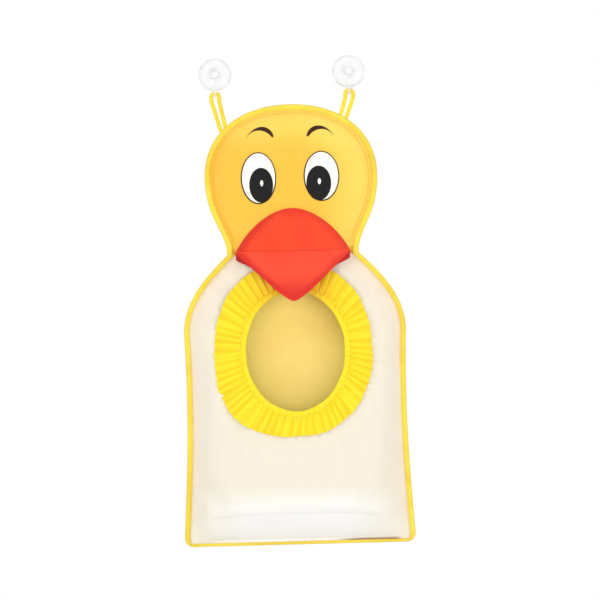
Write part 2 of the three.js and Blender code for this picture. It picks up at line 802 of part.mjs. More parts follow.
// An arched brow that thins to a point at each end.
function filmBrow(name, side) {
  const arch = new THREE.QuadraticBezierCurve(
    new THREE.Vector2(side * brow.innerX, brow.innerZ),
    new THREE.Vector2(side * brow.peakX, brow.peakZ * 2 - (brow.innerZ + brow.outerZ) / 2),
    new THREE.Vector2(side * brow.outerX, brow.outerZ),
  );
  const count = film.facets / 2;
  const edge = (way) =>
    Array.from({ length: count - 1 }, (unused, i) => {
      const share = (i + 1) / count;
      const tangent = arch.getTangent(share);
      const half = (way * brow.thick * Math.sin(Math.PI * share)) / 2;
      return arch.getPoint(share).add(new THREE.Vector2(-tangent.y * half, tangent.x * half));
    });
  const points = [arch.getPoint(0), ...edge(1), arch.getPoint(1), ...edge(-1).reverse()];
  place(name, plate(points, faceFrontY - GAP, film.thick), "brown");
}

// Where a cup sits across the wall: the pair hangs a little to the left of the bag's middle.
function cupX(side) {
  return (side * cup.spacing) / 2 + cup.shift;
}

// A tape loop from the binding up over the hook and back.
function loopGeometry(side) {
  const legs = hook.armWidth / 2 + loop.sideClearance + loop.tapeWidth / 2;
  const baseLegs = (loop.baseGap + loop.tapeWidth) / 2;
  const apex = new THREE.Vector2(cupX(side), -hook.drop);
  const archCentre = new THREE.Vector2(apex.x, apex.y - legs);
  const baseX = side * loop.baseX + loop.baseShift;
  const base = new THREE.Vector2(baseX, outline.headTop - loop.sewnLength * 2);
  const arch = Array.from({ length: loop.archSteps + 1 }, (unused, i) => {
    const angle = Math.PI - (Math.PI * i) / loop.archSteps;
    const [over, up] = [legs * Math.cos(angle), legs * Math.sin(angle)];
    return new THREE.Vector2(archCentre.x + over, archCentre.y + up);
  });
  const down = (x) => new THREE.Vector2(archCentre.x + x * legs, apex.y - loop.straight);
  const foot = (x) => new THREE.Vector2(base.x + x * baseLegs, base.y);
  const path = [foot(-1), down(-1), ...arch, down(1), foot(1)];
  const normals = inwardNormals(path, false);
  const half = loop.tapeWidth / 2;
  const rings = path.map((p, i) => {
    const a = p.clone().addScaledVector(normals[i], half);
    const b = p.clone().addScaledVector(normals[i], -half);
    const [front, rear] = [loopY - loop.tapeThick / 2, loopY + loop.tapeThick / 2];
    const section = [[a, front], [b, front], [b, rear], [a, rear]];
    return section.map(([q, y]) => new THREE.Vector3(q.x, y, q.y));
  });
  const head = plate(inset(headPath, -GAP, false), backRearY + OVERRUN * 2, fabric.wallGap);
  return cut(loft(rings), head);
}

// The hook: a plate clipped on the cup's neck, an arm down from it and a throat that holds the loop.
function hookGeometry(side) {
  const x = cupX(side);
  const armY = loopY + hook.throat + hook.thick / 2;
  const shape = new THREE.Shape();
  const root = Math.asin(hook.armFlare / 2 / hook.plateRadius);
  const start = -Math.PI / 2 + root;
  const bendZ = -hook.drop;
  const waistZ = -hook.plateRadius * hookWaistShare;
  const halfArm = hook.armWidth / 2;
  shape.absarc(0, 0, hook.plateRadius, start, start + 2 * Math.PI - 2 * root, false);
  shape.quadraticCurveTo(-halfArm, waistZ, -halfArm, bendZ);
  shape.lineTo(halfArm, bendZ);
  const startPoint = new THREE.Vector2(Math.cos(start), Math.sin(start)).multiplyScalar(hook.plateRadius);
  shape.quadraticCurveTo(halfArm, waistZ, startPoint.x, startPoint.y);
  const bore = new THREE.Path();
  bore.absarc(0, 0, cup.neckRadius + hook.boreClearance, 0, 2 * Math.PI, true);
  shape.holes.push(bore);
  const settings = { depth: hook.thick, bevelEnabled: false, curveSegments: hook.plateFacets };
  const flat = new THREE.ExtrudeGeometry(shape, settings);
  flat.rotateX(quarterTurn);
  flat.translate(x, armY + hook.thick / 2, 0);

  const mid = hook.throat + hook.thick / 2;
  const bend = Array.from({ length: hook.bendSteps + 1 }, (unused, i) => {
    const angle = (Math.PI * i) / hook.bendSteps;
    const [dy, dz] = [Math.cos(angle), -Math.sin(angle)];
    return { y: mid * dy, z: bendZ + mid * dz, dy, dz };
  });
  const lead = { ...bend[0], z: bendZ + hook.thick };
  const tip = { ...bend[hook.bendSteps], z: bendZ + hook.tipRise };
  const rings = [lead, ...bend, tip].map(({ y, z, dy, dz }) => {
    const [wide, half] = [hook.armWidth / 2, hook.thick / 2];
    const [narrow, thin] = [wide - hook.chamfer, half - hook.chamfer];
    const quarter = [[wide, thin], [narrow, half]];
    const upper = [...quarter, ...quarter.map(([a, b]) => [-a, b]).reverse()];
    const section = [...upper, ...upper.map(([a, b]) => [-a, -b])];
    return section.map(([over, out]) => new THREE.Vector3(x + over, loopY + y + dy * out, z + dz * out));
  });
  return join(flat, loft(rings));
}

// The suction cup: a soft bell with a lip, a neck and a knob, turned about the wall's normal.
function cupGeometry(side) {
  const c = cup;
  const bell = new THREE.CubicBezierCurve(
    new THREE.Vector2(c.lipRadius, -c.rimHeight),
    new THREE.Vector2(c.lipRadius * bellLipRadiusShare, -c.rimHeight - c.bellDepth * bellLipDepthShare),
    new THREE.Vector2(c.shoulderRadius * bellShoulderRadiusShare, -c.bellDepth * bellShoulderDepthShare),
    new THREE.Vector2(c.shoulderRadius, -c.bellDepth),
  );
  const hollow = new THREE.QuadraticBezierCurve(
    new THREE.Vector2(0, -c.hollowDepth),
    new THREE.Vector2((c.lipRadius - c.lipLand) * hollowRadiusShare, -c.hollowDepth * hollowDepthShare),
    new THREE.Vector2(c.lipRadius - c.lipLand, 0),
  );
  const knobStart = armRearY() - hook.thick - GAP;
  const knobEnd = knobStart - c.knobThick;
  const round = c.knobRound;
  const profile = [
    ...hollow.getPoints(c.curveSteps),
    new THREE.Vector2(c.lipRadius, 0),
    ...bell.getPoints(c.curveSteps),
    new THREE.Vector2(c.neckRadius, -c.bellDepth),
    new THREE.Vector2(c.neckRadius, knobStart),
    new THREE.Vector2(c.knobRadius - round, knobStart),
    new THREE.Vector2(c.knobRadius, knobStart - round),
    new THREE.Vector2(c.knobRadius, knobEnd + round),
    new THREE.Vector2(c.knobRadius - round, knobEnd),
    new THREE.Vector2(0, knobEnd),
  ];
  const geometry = new THREE.LatheGeometry(profile, c.facets);
  geometry.translate(cupX(side), 0, 0);
  return closedFrom(geometry);
}

// Rear plane of the hook's arm, just in front of the cup's shoulder.
function armRearY() {
  return loopY + hook.throat + hook.thick;
}

// Merges a revolved skin's seam and turns its faces outward.
function closedFrom(geometry) {
  geometry.deleteAttribute("normal");
  geometry.deleteAttribute("uv");
  const merged = mergeVertices(geometry);
  const positions = merged.attributes.position;
  const pointAt = (unused, i) => new THREE.Vector3().fromBufferAttribute(positions, i);
  const points = Array.from({ length: positions.count }, pointAt);
  const index = merged.index.array;
  const triangles = [];
  for (let i = 0; i < index.length; i += 3) {
    const [a, b, c] = [index[i], index[i + 1], index[i + 2]];
    if (a !== b && b !== c && a !== c) triangles.push([a, b, c]);
  }
  return closedGeometry(points, triangles);
}

function makeSides() {
  [["left", -1], ["right", 1]].forEach(([word, side]) => {
    filmOval(`eye_white_${word}`, eye, side, 0, "white");
    filmOval(`pupil_${word}`, pupil, side, 1, "black");
    filmOval(`glint_${word}`, glint, side, 2, "white");
    filmBrow(`brow_${word}`, side);
    place(`hanging_loop_${word}`, loopGeometry(side), "tape");
    place(`hook_${word}`, hookGeometry(side), "acrylic");
    place(`suction_cup_${word}`, cupGeometry(side), "vinyl");
  });
}

makePanels();
makeFace();
makePocket();
makeGusset();
makeOpening();
makeFrill();
makeBill();
makeSides();

export default group;
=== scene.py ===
"""A duck shaped bath toy organizer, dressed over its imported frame.

Shapes are worked out in millimetres, in the frame's axes: X right, Y into the wall, Z up.
"""

import bmesh
import bpy
import numpy as np
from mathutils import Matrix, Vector
from numpy import clip, concatenate, cos, exp, hypot, linspace, maximum, minimum, sin, vstack


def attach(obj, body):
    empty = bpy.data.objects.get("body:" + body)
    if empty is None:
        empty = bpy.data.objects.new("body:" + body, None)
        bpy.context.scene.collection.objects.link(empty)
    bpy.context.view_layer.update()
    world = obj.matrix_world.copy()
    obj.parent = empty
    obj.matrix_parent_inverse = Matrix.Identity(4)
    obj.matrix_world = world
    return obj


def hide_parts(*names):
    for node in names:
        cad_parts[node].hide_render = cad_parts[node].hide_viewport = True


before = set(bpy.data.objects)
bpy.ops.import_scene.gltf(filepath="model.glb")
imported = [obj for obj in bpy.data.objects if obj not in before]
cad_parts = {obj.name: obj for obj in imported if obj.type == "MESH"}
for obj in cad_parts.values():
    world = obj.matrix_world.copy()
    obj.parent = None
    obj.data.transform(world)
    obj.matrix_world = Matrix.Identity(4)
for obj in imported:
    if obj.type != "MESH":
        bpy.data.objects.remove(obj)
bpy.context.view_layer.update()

MM = 0.001
TAU = 2 * np.pi
SIDES = (("left", -1), ("right", 1))


class Bag:
    """Sizes of the cloth bag, from its rim to its layers."""

    head_top, head_half, head_wide_z = -38.5, 103.8, -125.0
    neck_half, neck_z = 79.0, -218.0
    shoulder_half, shoulder_z, waist_half = 133.4, -312.0, 130.7
    flare_half, flare_z, bottom_z, corner = 138.7, -555.0, -567.5, 11.5
    rim_flat, rim_land, rim_width = 7.2, 1.5, 24.0
    crown, puff, full_share = 8.0, 32.0, 0.75
    fold_z, fold_dip = -529.0, 16.0
    back_rear, back_front, head_back = -12.9, -15.4, -15.7
    face_flange, net_flange, net_thick = -17.2, -16.9, 0.9
    binding_rear, binding_middle, binding_front = -11.4, -15.05, -18.7
    binding_width, tape, seam_inset = 6.6, 1.2, 1.5


class Opening:
    """The round opening with its casing and frill."""

    z, half_x, half_z = -334.7, 59.0, 71.3
    casing_width, casing_half, casing_back = 7.6, 2.2, 0.6
    frill_shift, frill_z, frill_x, frill_half_z = -2.5, -337.3, 94.6, 99.0


class Bill:
    """The bill's outline and padding."""

    top_z, corner_half, corner_z, crease_z, tip_z = -163.5, 70.4, -219.0, -215.0, -274.0
    drop = crease_z - tip_z
    tip_half, pad, edge, lean, crease_y = 7.0, 7.2, 2.2, np.radians(30), -25.5


class Cup:
    """A suction cup and the hook and loop under it."""

    spacing, shift, lip, land, depth, hollow = 161.0, -8.0, 20.0, 1.4, 9.3, 5.6
    shoulder, neck, knob, knob_back, knob_front = 7.4, 3.5, 5.4, -12.5, -15.6
    drop, tape_wide, tape_thick, arm_radius, play = 23.4, 5.0, 2.4, 1.9, 0.3


def add_object(name, data):
    """A new object in the scene."""
    made = bpy.data.objects.new(name, data)
    bpy.context.scene.collection.objects.link(made)
    return made


def make_camera():
    """A long lens square to the wall, rolled so that the bag leans a little to the left."""
    distance, middle_depth, frame_width, sensor = 4200.0, 20.0, 720.0, 36.0
    data = bpy.data.cameras.new("camera")
    data.sensor_width, data.clip_end = sensor, 30.0
    data.lens = sensor * (distance - middle_depth) / frame_width
    camera = add_object("camera", data)
    camera.location = np.array([7.0, -distance, -274.0]) * MM
    camera.rotation_euler = np.pi / 2, np.radians(1.5), 0.0
    bpy.context.scene.camera = camera


def maths(operation):
    """A method that adds one Math node to a value and to those it is given."""
    def method(self, *others):
        inputs = dict(enumerate((self, *others)))
        return self.finish.node("ShaderNodeMath", inputs, operation=operation)

    return method


class Value:
    """A shader socket in an expression: each operator adds its Math nodes."""

    __add__, __sub__, __mul__ = maths("ADD"), maths("SUBTRACT"), maths("MULTIPLY")
    __truediv__, __pow__, sine = maths("DIVIDE"), maths("POWER"), maths("SINE")
    size, least, most = maths("ABSOLUTE"), maths("MINIMUM"), maths("MAXIMUM")

    def __init__(self, finish, socket):
        self.finish, self.socket = finish, socket

    def __rsub__(self, other):
        return self * -1.0 + other

    def wave(self, pitch):
        """A sine that repeats at every pitch."""
        return (self * (TAU / pitch)).sine()

    def between(self, low, high):
        """0 below low, 1 above high and a ramp with soft ends between them."""
        span = {1: low, 2: high, 3: 0.0, 4: 1.0}
        how = {"interpolation_type": "SMOOTHSTEP"}
        return self.finish.node("ShaderNodeMapRange", {0: self, **span}, **how)


def paint(red, green, blue):
    """A colour written as 0 to 255 display values, as the linear colour the shaders take."""
    share = np.array([red, green, blue]) / 255.0
    linear = np.where(share <= 0.04045, share / 12.92, ((share + 0.055) / 1.055) ** 2.4)
    return (*linear.tolist(), 1.0)


class Finish:
    """A material in the making. Constants go straight on the shader's own sockets."""

    def __init__(self, name, **constants):
        self.material = bpy.data.materials.new(name)
        self.material.use_nodes = True
        self.tree = self.material.node_tree
        self.shader = self.tree.nodes["Principled BSDF"]
        for socket, value in constants.items():
            self.shader.inputs[socket.replace("_", " ")].default_value = value

    def node(self, kind, inputs, output=0, **settings):
        """Adds a node: its settings first, then the values or links of its sockets."""
        made = self.tree.nodes.new(kind)
        for key, value in settings.items():
            setattr(made, key, value)
        for key, value in inputs.items():
            if isinstance(value, Value):
                self.tree.links.new(value.socket, made.inputs[key])
            else:
                made.inputs[key].default_value = value
        return Value(self, made.outputs[output])

    def place(self, count=3, kind="ShaderNodeTexCoord", output="Object", **settings):
        """Object coordinates, or the first parts of another position, as values in millimetres."""
        where = self.node(kind, {}, output, **settings)
        return [self.node("ShaderNodeSeparateXYZ", {0: where}, k) * 1000.0 for k in range(count)]

    def shade(self, name):
        """A number kept on the piece's vertices."""
        return self.node("ShaderNodeAttribute", {}, "Fac", attribute_name=name)

    def noise(self, scale, detail=2.0, stretch=(1.0, 1.0, 1.0)):
        """Smooth noise on Object coordinates, with scale in cells per metre."""
        where = self.node("ShaderNodeTexCoord", {}, "Object")
        spread = self.node("ShaderNodeMapping", {"Vector": where, "Scale": stretch})
        inputs = {"Vector": spread, "Scale": scale, "Detail": detail, "Roughness": 0.5}
        return self.node("ShaderNodeTexNoise", inputs)

    def tint(self, factor, low, high):
        """low where factor is 0 and high where it is 1; each is a value or a colour in numbers."""
        low, high = (c if isinstance(c, Value) else paint(*c) for c in (low, high))
        return self.node("ShaderNodeMix", {0: factor, 6: low, 7: high}, 2, data_type="RGBA")

    def feed(self, socket, value):
        self.tree.links.new(value.socket, self.shader.inputs[socket])

    def dress(self, colour, rough, height=None, distance=0.0, strength=0.0):
        """Feeds the colour, the roughness and a bump whose full height is so many millimetres.

        The value that stands on the bump's height socket is the middle height.
        """
        self.colour = colour
        self.feed("Base Color", colour)
        self.feed("Roughness", rough)
        if height:
            inputs = {"Height": height, "Distance": distance * MM, "Strength": strength}
            bump = self.node("ShaderNodeBump", inputs)
            bump.socket.node.inputs["Height"].default_value = 0.5
            self.feed("Normal", bump)
        return self


def woven(name, light, deep, pitch=0.9, roughness=0.82):
    """Woven cloth: crossed threads in the bump, slubs and a soft mottling in the colour."""
    made = Finish(name, Roughness=roughness, Sheen_Weight=0.25, Sheen_Roughness=0.4)
    x, y, z = made.place()
    slub = 0.35
    threads = (x.wave(pitch) * 0.5 + 0.5) * ((z + y).wave(pitch) * 0.5 + 0.5)
    mottle = made.noise(28.0, 3.0)
    slubs = made.noise(900.0, stretch=(1.0, 0.3, 0.18))
    shade = (mottle.between(0.3, 0.7) * (1 - slub) + slubs * slub).between(0.0, 1.0)
    height = threads * 0.55 + slubs * 0.45
    return made.dress(made.tint(shade, light, deep), mottle * 0.15 + 0.74, height, 0.35, 0.5)


def back_weave():
    """The back's cloth: painted light makes it paler in a ring behind the opening's edge, and a
    painted shadow of the bill makes it deeper high on the right.
    """
    made = woven("golden back cloth", (252, 221, 122), (249, 215, 114))
    x, y, z = made.place()
    half_x, half_z = 59.0, 71.0
    away = (x / half_x) ** 2.0 + ((z - Opening.z) / half_z) ** 2.0
    front = 1 - y.between(-14.6, -13.6)
    # painted light: a paler ring behind the opening's edge, on the front only, lifting the shade
    # inside the pocket
    ring = made.tint(front * away.between(0.2, 0.95), made.colour, (255, 230, 120))
    # painted shadow of the bill, high on the right behind the opening
    shade = front * x.between(-6.0, 40.0) * z.between(-345.0, -300.0)
    made.feed("Base Color", made.tint(shade * 0.6, ring, (226, 190, 88)))
    return made


def head_cloth():
    """Golden cloth with painted light that pales it toward the forehead and the right cheek, and
    painted shade that deepens it along its rim.
    """
    made = Finish("golden head cloth", Roughness=0.85, Sheen_Weight=0.3, Sheen_Roughness=0.45)
    x, _, z = made.place()
    cloudy = made.noise(16.0, 3.0)
    # painted light toward the forehead and the right cheek, with a random cloudy tone
    pale = z.between(-112.0, -52.0) * 0.75 + x.between(0.0, 95.0) * 0.7 + (cloudy - 0.5) * 0.5
    cloth = made.tint(pale.between(0.0, 1.0), (248, 195, 63), (254, 222, 99))
    # painted shade along the rim, where the padding dips to its seam
    near_rim = 1 - made.shade("rim").between(0.0, 0.45)
    cloth = made.tint(near_rim * 0.4, cloth, (244, 178, 48))
    fibres = made.noise(1100.0, stretch=(1.0, 1.0, 0.4))
    cloth = made.tint(fibres.between(0.35, 0.75) * 0.12, cloth, (236, 176, 60))
    height = x.wave(0.9) * z.wave(0.9) * 0.3 + fibres * 0.5 + 0.2
    return made.dress(cloth, fibres * 0.15 + 0.76, height, 0.35, 0.5)


def lemon_cloth():
    """Bright yellow frill cloth: painted light on the crests of its gathers, painted shade where
    the folds close, and more orange under the bill as painted shadow with red light bounced off the
    bill.
    """
    made = Finish("lemon frill cloth", Roughness=0.72, Sheen_Weight=0.25, Sheen_Roughness=0.4)
    x, _, z = made.place()
    fold = made.shade("fold")
    cloudy = made.noise(40.0, 3.0)
    # painted light on the crests of the gathers
    sunlit = (cloudy * 0.5 + fold * 0.6).between(0.3, 0.9)
    bright = made.tint(sunlit, (250, 219, 8), (255, 233, 30))
    # painted shadow under the bill, orange with red light bounced off the bill
    shadow = z.between(-312.0, -262.0) * (1 - (x * 0.013).size()).most(0.0)
    deep = made.tint(shadow, (244, 206, 12), (247, 164, 24))
    # painted shade where the folds close, and under the bill
    closed = ((1 - fold).between(0.35, 1.0) * 0.6 + shadow * 0.9).least(1.0)
    height = (x + z).wave(0.8) * (x - z).wave(0.8) * 0.5 + 0.5
    return made.dress(made.tint(closed, bright, deep), cloudy * 0.2 + 0.62, height, 0.25, 0.4)


def tape_cloth(name, light, deep):
    """Binding tape: slanting twill ribs along the tape and slight changes of tone."""
    made = Finish(name, Roughness=0.7, Sheen_Weight=0.2, Sheen_Roughness=0.4)
    along, across = made.place(2, "ShaderNodeUVMap", 0, uv_map="cut")
    ribs = (along + across * 1.4).wave(1.1) * 0.5 + 0.5
    tone = made.noise(30.0, 3.0)
    shade = (tone.between(0.35, 0.7) * 0.7 + (1 - ribs) * 0.25).least(1.0)
    return made.dress(made.tint(shade, light, deep), tone * 0.2 + 0.6, ribs, 0.3, 0.5)


def net_cloth():
    """Fine white net: open cells in the bump and colour, warmer and paler near the golden rim as
    painted light, and warmer upward.

    The band at the bottom is whiter as painted light, and a brown line low on the right is painted
    shadow where the net bulges over the binding.
    """
    made = Finish("white net", Roughness=0.8, Sheen_Weight=0.15, Sheen_Roughness=0.5)
    x, _, z = made.place()
    pitch = 1.7
    cells = (x + z * 0.577).wave(pitch) * (x - z * 0.577).wave(pitch) * (z * 1.155).wave(pitch)
    holes = cells.size().between(0.18, 0.55)
    near_rim = 1 - made.shade("rim").between(0.0, 0.9)
    drift = made.noise(14.0, stretch=(1.6, 1.0, 0.5))
    # near the rim: painted light, warm from the yellow cloth, lifting the shaded sides
    warm = near_rim * 0.75 + z.between(-400.0, -250.0) * 0.35 + (drift - 0.5) * 0.9
    cloth = made.tint(warm.between(0.0, 1.1), (247, 240, 223), (255, 240, 219))
    # painted light: the downward-facing band at the bottom made whiter
    band = (1 - z.between(-526.0, -492.0)) * (1.2 - (x * 0.0085).size()).between(0.0, 0.8)
    cloth = made.tint(band, cloth, (255, 255, 253))
    cloth = made.tint(holes * 0.26, cloth, (228, 206, 168))
    # painted shadow: a brown line where the net bulges over the bottom binding
    line = (1 - z.between(-562.5, -560.0)) * x.between(35.0, 70.0) * (1 - x.between(112.0, 126.0))
    cloth = made.tint(line * 0.8, cloth, (150, 98, 44))
    return made.dress(cloth, drift * 0.2 + 0.7, 1 - holes, 0.35, 0.6)


def bill_cloth(name, light, deep):
    """Red cloth with painted shade that deepens it toward its edges, more so on the left and at the
    tip.
    """
    made = Finish(name, Roughness=0.78, Sheen_Weight=0.3, Sheen_Roughness=0.4)
    x, _, z = made.place()
    # painted shade toward the padded edges, on the left and at the tip; the cloudy noise is random
    # tone
    edge = 1 - made.shade("rim").between(0.0, 0.85)
    cloudy = made.noise(30.0, 3.0)
    left = 1 - x.between(-60.0, 10.0)
    tip = 1 - z.between(-268.0, -240.0)
    tone_and_painted_shade = cloudy.between(0.3, 0.7) * 0.25 + edge * (left * 0.6 + 0.7) + tip * 0.8
    fibres = made.noise(1200.0)
    height = (x + z).wave(0.9) * (x - z).wave(0.9) * 0.35 + fibres * 0.5 + 0.15
    cloth = made.tint(tone_and_painted_shade.least(1.0), light, deep)
    return made.dress(cloth, fibres * 0.2 + 0.68, height, 0.3, 0.45)


def film(name, light, deep, rough):
    """Bonded film: a faint mottling in colour and gloss, with a fine pebbled bump."""
    made = Finish(name, Roughness=rough, Specular_IOR_Level=0.2)
    mottle = made.noise(160.0)
    grain = made.noise(1500.0, 1.0)
    colour = made.tint(mottle.between(0.3, 0.8), light, deep)
    return made.dress(colour, grain * 0.2 + (rough - 0.1), grain, 0.08, 0.4)


def clear_plastic(name, colour, alpha, rough, shaded=False):
    """Clear plastic as a thin veil with faint flow marks, more opaque where the piece says so, as
    painted shade and reflection.
    """
    made = Finish(name, Specular_IOR_Level=0.6)
    flow = made.noise(120.0)
    veil = flow * 0.08 + alpha
    made.feed("Alpha", veil + made.shade("veil") * 0.5 if shaded else veil)
    colour = made.tint(flow.between(0.3, 0.8), colour, (250, 251, 251))
    return made.dress(colour, flow * 0.1 + rough)


def row(low, high, count):
    """Evenly spaced numbers along a grid's columns."""
    return linspace(low, high, count)[None, :]


def column(low, high, count):
    """Evenly spaced numbers down a grid's rows."""
    return linspace(low, high, count)[:, None]


def stack(x, y, z):
    return np.stack(np.broadcast_arrays(x, y, z), -1).astype(float)


def grid_faces(rows, columns, start):
    """Quads of a grid whose points are numbered row by row from start."""
    i, j = np.meshgrid(np.arange(rows - 1), np.arange(columns - 1), indexing="ij")
    a = start + i * columns + j
    return np.stack([a, a + 1, a + columns + 1, a + columns], -1).reshape(-1, 4)


def cut_of(points):
    """Lengths along the columns and the rows of a grid, measured on the surface in millimetres."""
    along = np.linalg.norm(np.diff(points, axis=1), axis=2)
    across = np.linalg.norm(np.diff(points, axis=0), axis=2)
    u = concatenate([np.zeros((len(points), 1)), np.cumsum(along, 1)], 1)
    v = concatenate([np.zeros((1, points.shape[1])), np.cumsum(across, 0)], 0)
    return np.stack([np.broadcast_to(u.mean(0), u.shape), v], -1)


def make_mesh(name, grids, values, sharp):
    """One closed mesh from grids that share their edges: doubles merged, faces turned out."""
    starts = np.cumsum([0] + [g.shape[0] * g.shape[1] for g in grids])
    points = concatenate([g.reshape(-1, 3) for g in grids]) * MM
    faces = concatenate([grid_faces(*g.shape[:2], start) for g, start in zip(grids, starts)])
    cuts = concatenate([cut_of(g).reshape(-1, 2) for g in grids]) * MM
    mesh = bpy.data.meshes.new(name)
    mesh.from_pydata(points.tolist(), [], faces.tolist())
    layer = mesh.uv_layers.new(name="cut")
    layer.data.foreach_set("uv", cuts[faces.reshape(-1)].reshape(-1).astype(np.float32))
    for key, number in values.items():
        attribute = mesh.attributes.new(key, "FLOAT", "POINT")
        flat = concatenate([n.reshape(-1) for n in number])
        attribute.data.foreach_set("value", flat.astype(np.float32))
    shape = bmesh.new()
    shape.from_mesh(mesh)
    bmesh.ops.remove_doubles(shape, verts=shape.verts, dist=2e-6)
    bmesh.ops.dissolve_degenerate(shape, dist=1e-7, edges=shape.edges)
    bmesh.ops.recalc_face_normals(shape, faces=shape.faces)
    shape.to_mesh(mesh)
    shape.free()
    mesh.shade_smooth()
    mesh.set_sharp_from_angle(angle=np.radians(sharp))
    return mesh


def piece(name, grids, slot, finish, replaces=(), body="bag", sharp=50, **values):
    """Puts grids into the scene as a mesh that rides on a body and takes the finish it is given;
    the slot is not used.
    """
    made = add_object(name, make_mesh(name, grids, values, sharp))
    made.data.materials.append(finish.material)
    if replaces:
        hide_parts(*replaces)
    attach(made, body)
    return made


def shell(front, back, wrapped=False, outer=True):
    """A closed skin: two grids of one size and the strips that close the edges between them."""
    made = [front, back, *(np.stack([front[k], back[k]]) for k in ((0, -1) if outer else (0,)))]
    if not wrapped:
        made += [np.stack([front[:, k], back[:, k]]) for k in (0, -1)]
    return made


def on_shell(grids, value, *shares):
    """Values for a shell: one for its front and back, and an even share for each of its strips."""
    return [value, value] + [np.full(g.shape[:2], share) for g, share in zip(grids[2:], shares)]


def bezier(t, *points):
    """A point of a Bezier curve is blended between neighbours again and again until one is left."""
    left = [np.outer(np.ones_like(t), p) for p in points]
    share = t[:, None]
    while len(left) > 1:
        left = [a * (1 - share) + b * share for a, b in zip(left, left[1:])]
    return left[0]


def partway(a, b, across, up):
    """A point partway from a to b, with one share for x and one for z."""
    return a[0] + (b[0] - a[0]) * across, a[1] + (b[1] - a[1]) * up


def right_half():
    """Right halves of the head and body outlines as x, z points, top to neck and neck to bottom."""
    b = Bag
    t = linspace(0, 1, 49)
    top, temple, neck = (0, b.head_top), (b.head_half, b.head_wide_z), (b.neck_half, b.neck_z)
    widest, flare = (b.shoulder_half, b.shoulder_z), (b.flare_half, b.flare_z)
    foot = b.flare_half - b.corner, b.bottom_z
    crown = bezier(t, top, partway(top, temple, 0.6, 0), partway(top, temple, 1, 0.4), temple)
    cheek = bezier(t, temple, partway(temple, neck, 0, 0.54), partway(temple, neck, 1, 0.69), neck)
    shoulder = bezier(t, neck, partway(neck, widest, 0.55, 0.3), partway(neck, widest, 1, 0.6),
                      widest)
    waist = [(b.waist_half, partway(widest, flare, 0, down)[1]) for down in (0.28, 0.53)]
    side = bezier(t, widest, *waist, flare)
    corner = bezier(t[::4], flare, (b.flare_half, b.bottom_z), foot)
    bottom = bezier(t, foot, (0, b.bottom_z))
    return vstack([crown, cheek[1:]]), vstack([shoulder, side[1:], corner[1:], bottom[1:]])


def mirrored(path):
    """A path's mirror image, from its end back to its start."""
    return (path * [-1.0, 1.0])[::-1]


HEAD_RIGHT, BODY_RIGHT = right_half()
HEAD = vstack([mirrored(HEAD_RIGHT), HEAD_RIGHT[1:]])
BODY = vstack([BODY_RIGHT, mirrored(BODY_RIGHT)[1:]])
RIM = vstack([HEAD, BODY[1:]])


def run_of(path):
    """Length along a path at each of its points."""
    return concatenate([[0], np.cumsum(np.linalg.norm(np.diff(path, axis=0), axis=1))])


def resample(path, count):
    """The same path with its points spread evenly along it."""
    run = run_of(path)
    at = linspace(0, run[-1], count)
    return np.stack([np.interp(at, run, path[:, k]) for k in range(path.shape[1])], -1)


def rim_distance(x, z):
    """Distance from each place to the nearest stretch of the bag's outline."""
    x, z = np.broadcast_arrays(x, z)
    edge = resample(RIM, 260)
    places = np.stack([x, z], -1).reshape(-1, 2)
    least = np.full(len(places), np.inf)
    for p, d in zip(edge, np.diff(edge, axis=0)):
        share = clip(((places - p) @ d) / (d @ d), 0, 1)
        least = minimum(least, hypot(*(places - p - share[:, None] * d).T))
    return least.reshape(np.shape(x))


def smooth(value, low, high):
    """An even ramp from 0 at low to 1 at high with soft ends."""
    share = clip((value - low) / (high - low), 0, 1)
    return share * share * (3 - 2 * share)


def quarter(share):
    """A quarter sine: it rises from 0 at 0 to 1 at 1."""
    return sin(np.pi / 2 * clip(share, 0, 1))


def bell(value, middle, wide):
    """A bell curve: 1 at its middle, falling to 0 on both sides."""
    return exp(-(((value - middle) / wide) ** 2))


def unit(vectors):
    return vectors / maximum(np.linalg.norm(vectors, axis=1, keepdims=True), 1e-9)


def beside(path, normals, reach):
    """Places that lie some way from a path's points, along their normals."""
    return path[:, 0] + normals[:, 0] * reach, path[:, 1] + normals[:, 1] * reach


def rise(x, z):
    """Padding rises as a quarter sine from 0 at the binding to 1 inside the rim."""
    return quarter((rim_distance(x, z) - Bag.rim_flat - Bag.rim_land) / Bag.rim_width)


def rim_share(x, z):
    """0 at the bag's outline and 1 from 40 mm inside it."""
    return clip(rim_distance(x, z) / 40, 0, 1)


def half_at(z, edge):
    """Half width at a height of a shape whose right edge runs down, and 0 above it."""
    return np.interp(-z, -edge[:, 1], edge[:, 0], left=0.0)


def body_half(z):
    """Half width of the body at a height, and the neck's above it."""
    edge = BODY_RIGHT[BODY_RIGHT[:, 1] > Bag.bottom_z + 0.01]
    return np.interp(-z, -edge[:, 1], edge[:, 0])


def face_y(x, z):
    """Front of the padded face."""
    return Bag.face_flange - Bag.crown * rise(x, z)


def net_y(x, z):
    """Front of the net: it swells as a quarter sine down from the neck, less toward the sides."""
    down = clip((Bag.neck_z - z) / (Bag.neck_z - Bag.fold_z), 0, 1)
    puff = Bag.puff * quarter(down / Bag.full_share)
    side = minimum(1, abs(x) / (body_half(z) - Bag.rim_flat))
    return Bag.net_flange - (Bag.crown + puff * (1 - side**2.2) ** 0.75) * rise(x, z)


def fold_z(x):
    """Height of the line where the net turns under."""
    return Bag.fold_z - Bag.fold_dip * minimum(1, abs(x) / Bag.flare_half) ** 3


def inward(path):
    """Normals to a clockwise path's inside, lengthened at bends to keep offsets parallel."""
    before, after = vstack([path[:1], path[:-1]]), vstack([path[1:], path[-1:]])
    a, b = unit(path - before), unit(after - path)
    n = unit(a + b)
    reach = maximum(0.7, maximum((n * a).sum(1), (n * b).sum(1)))[:, None]
    return np.stack([n[:, 1], -n[:, 0]], -1) / reach


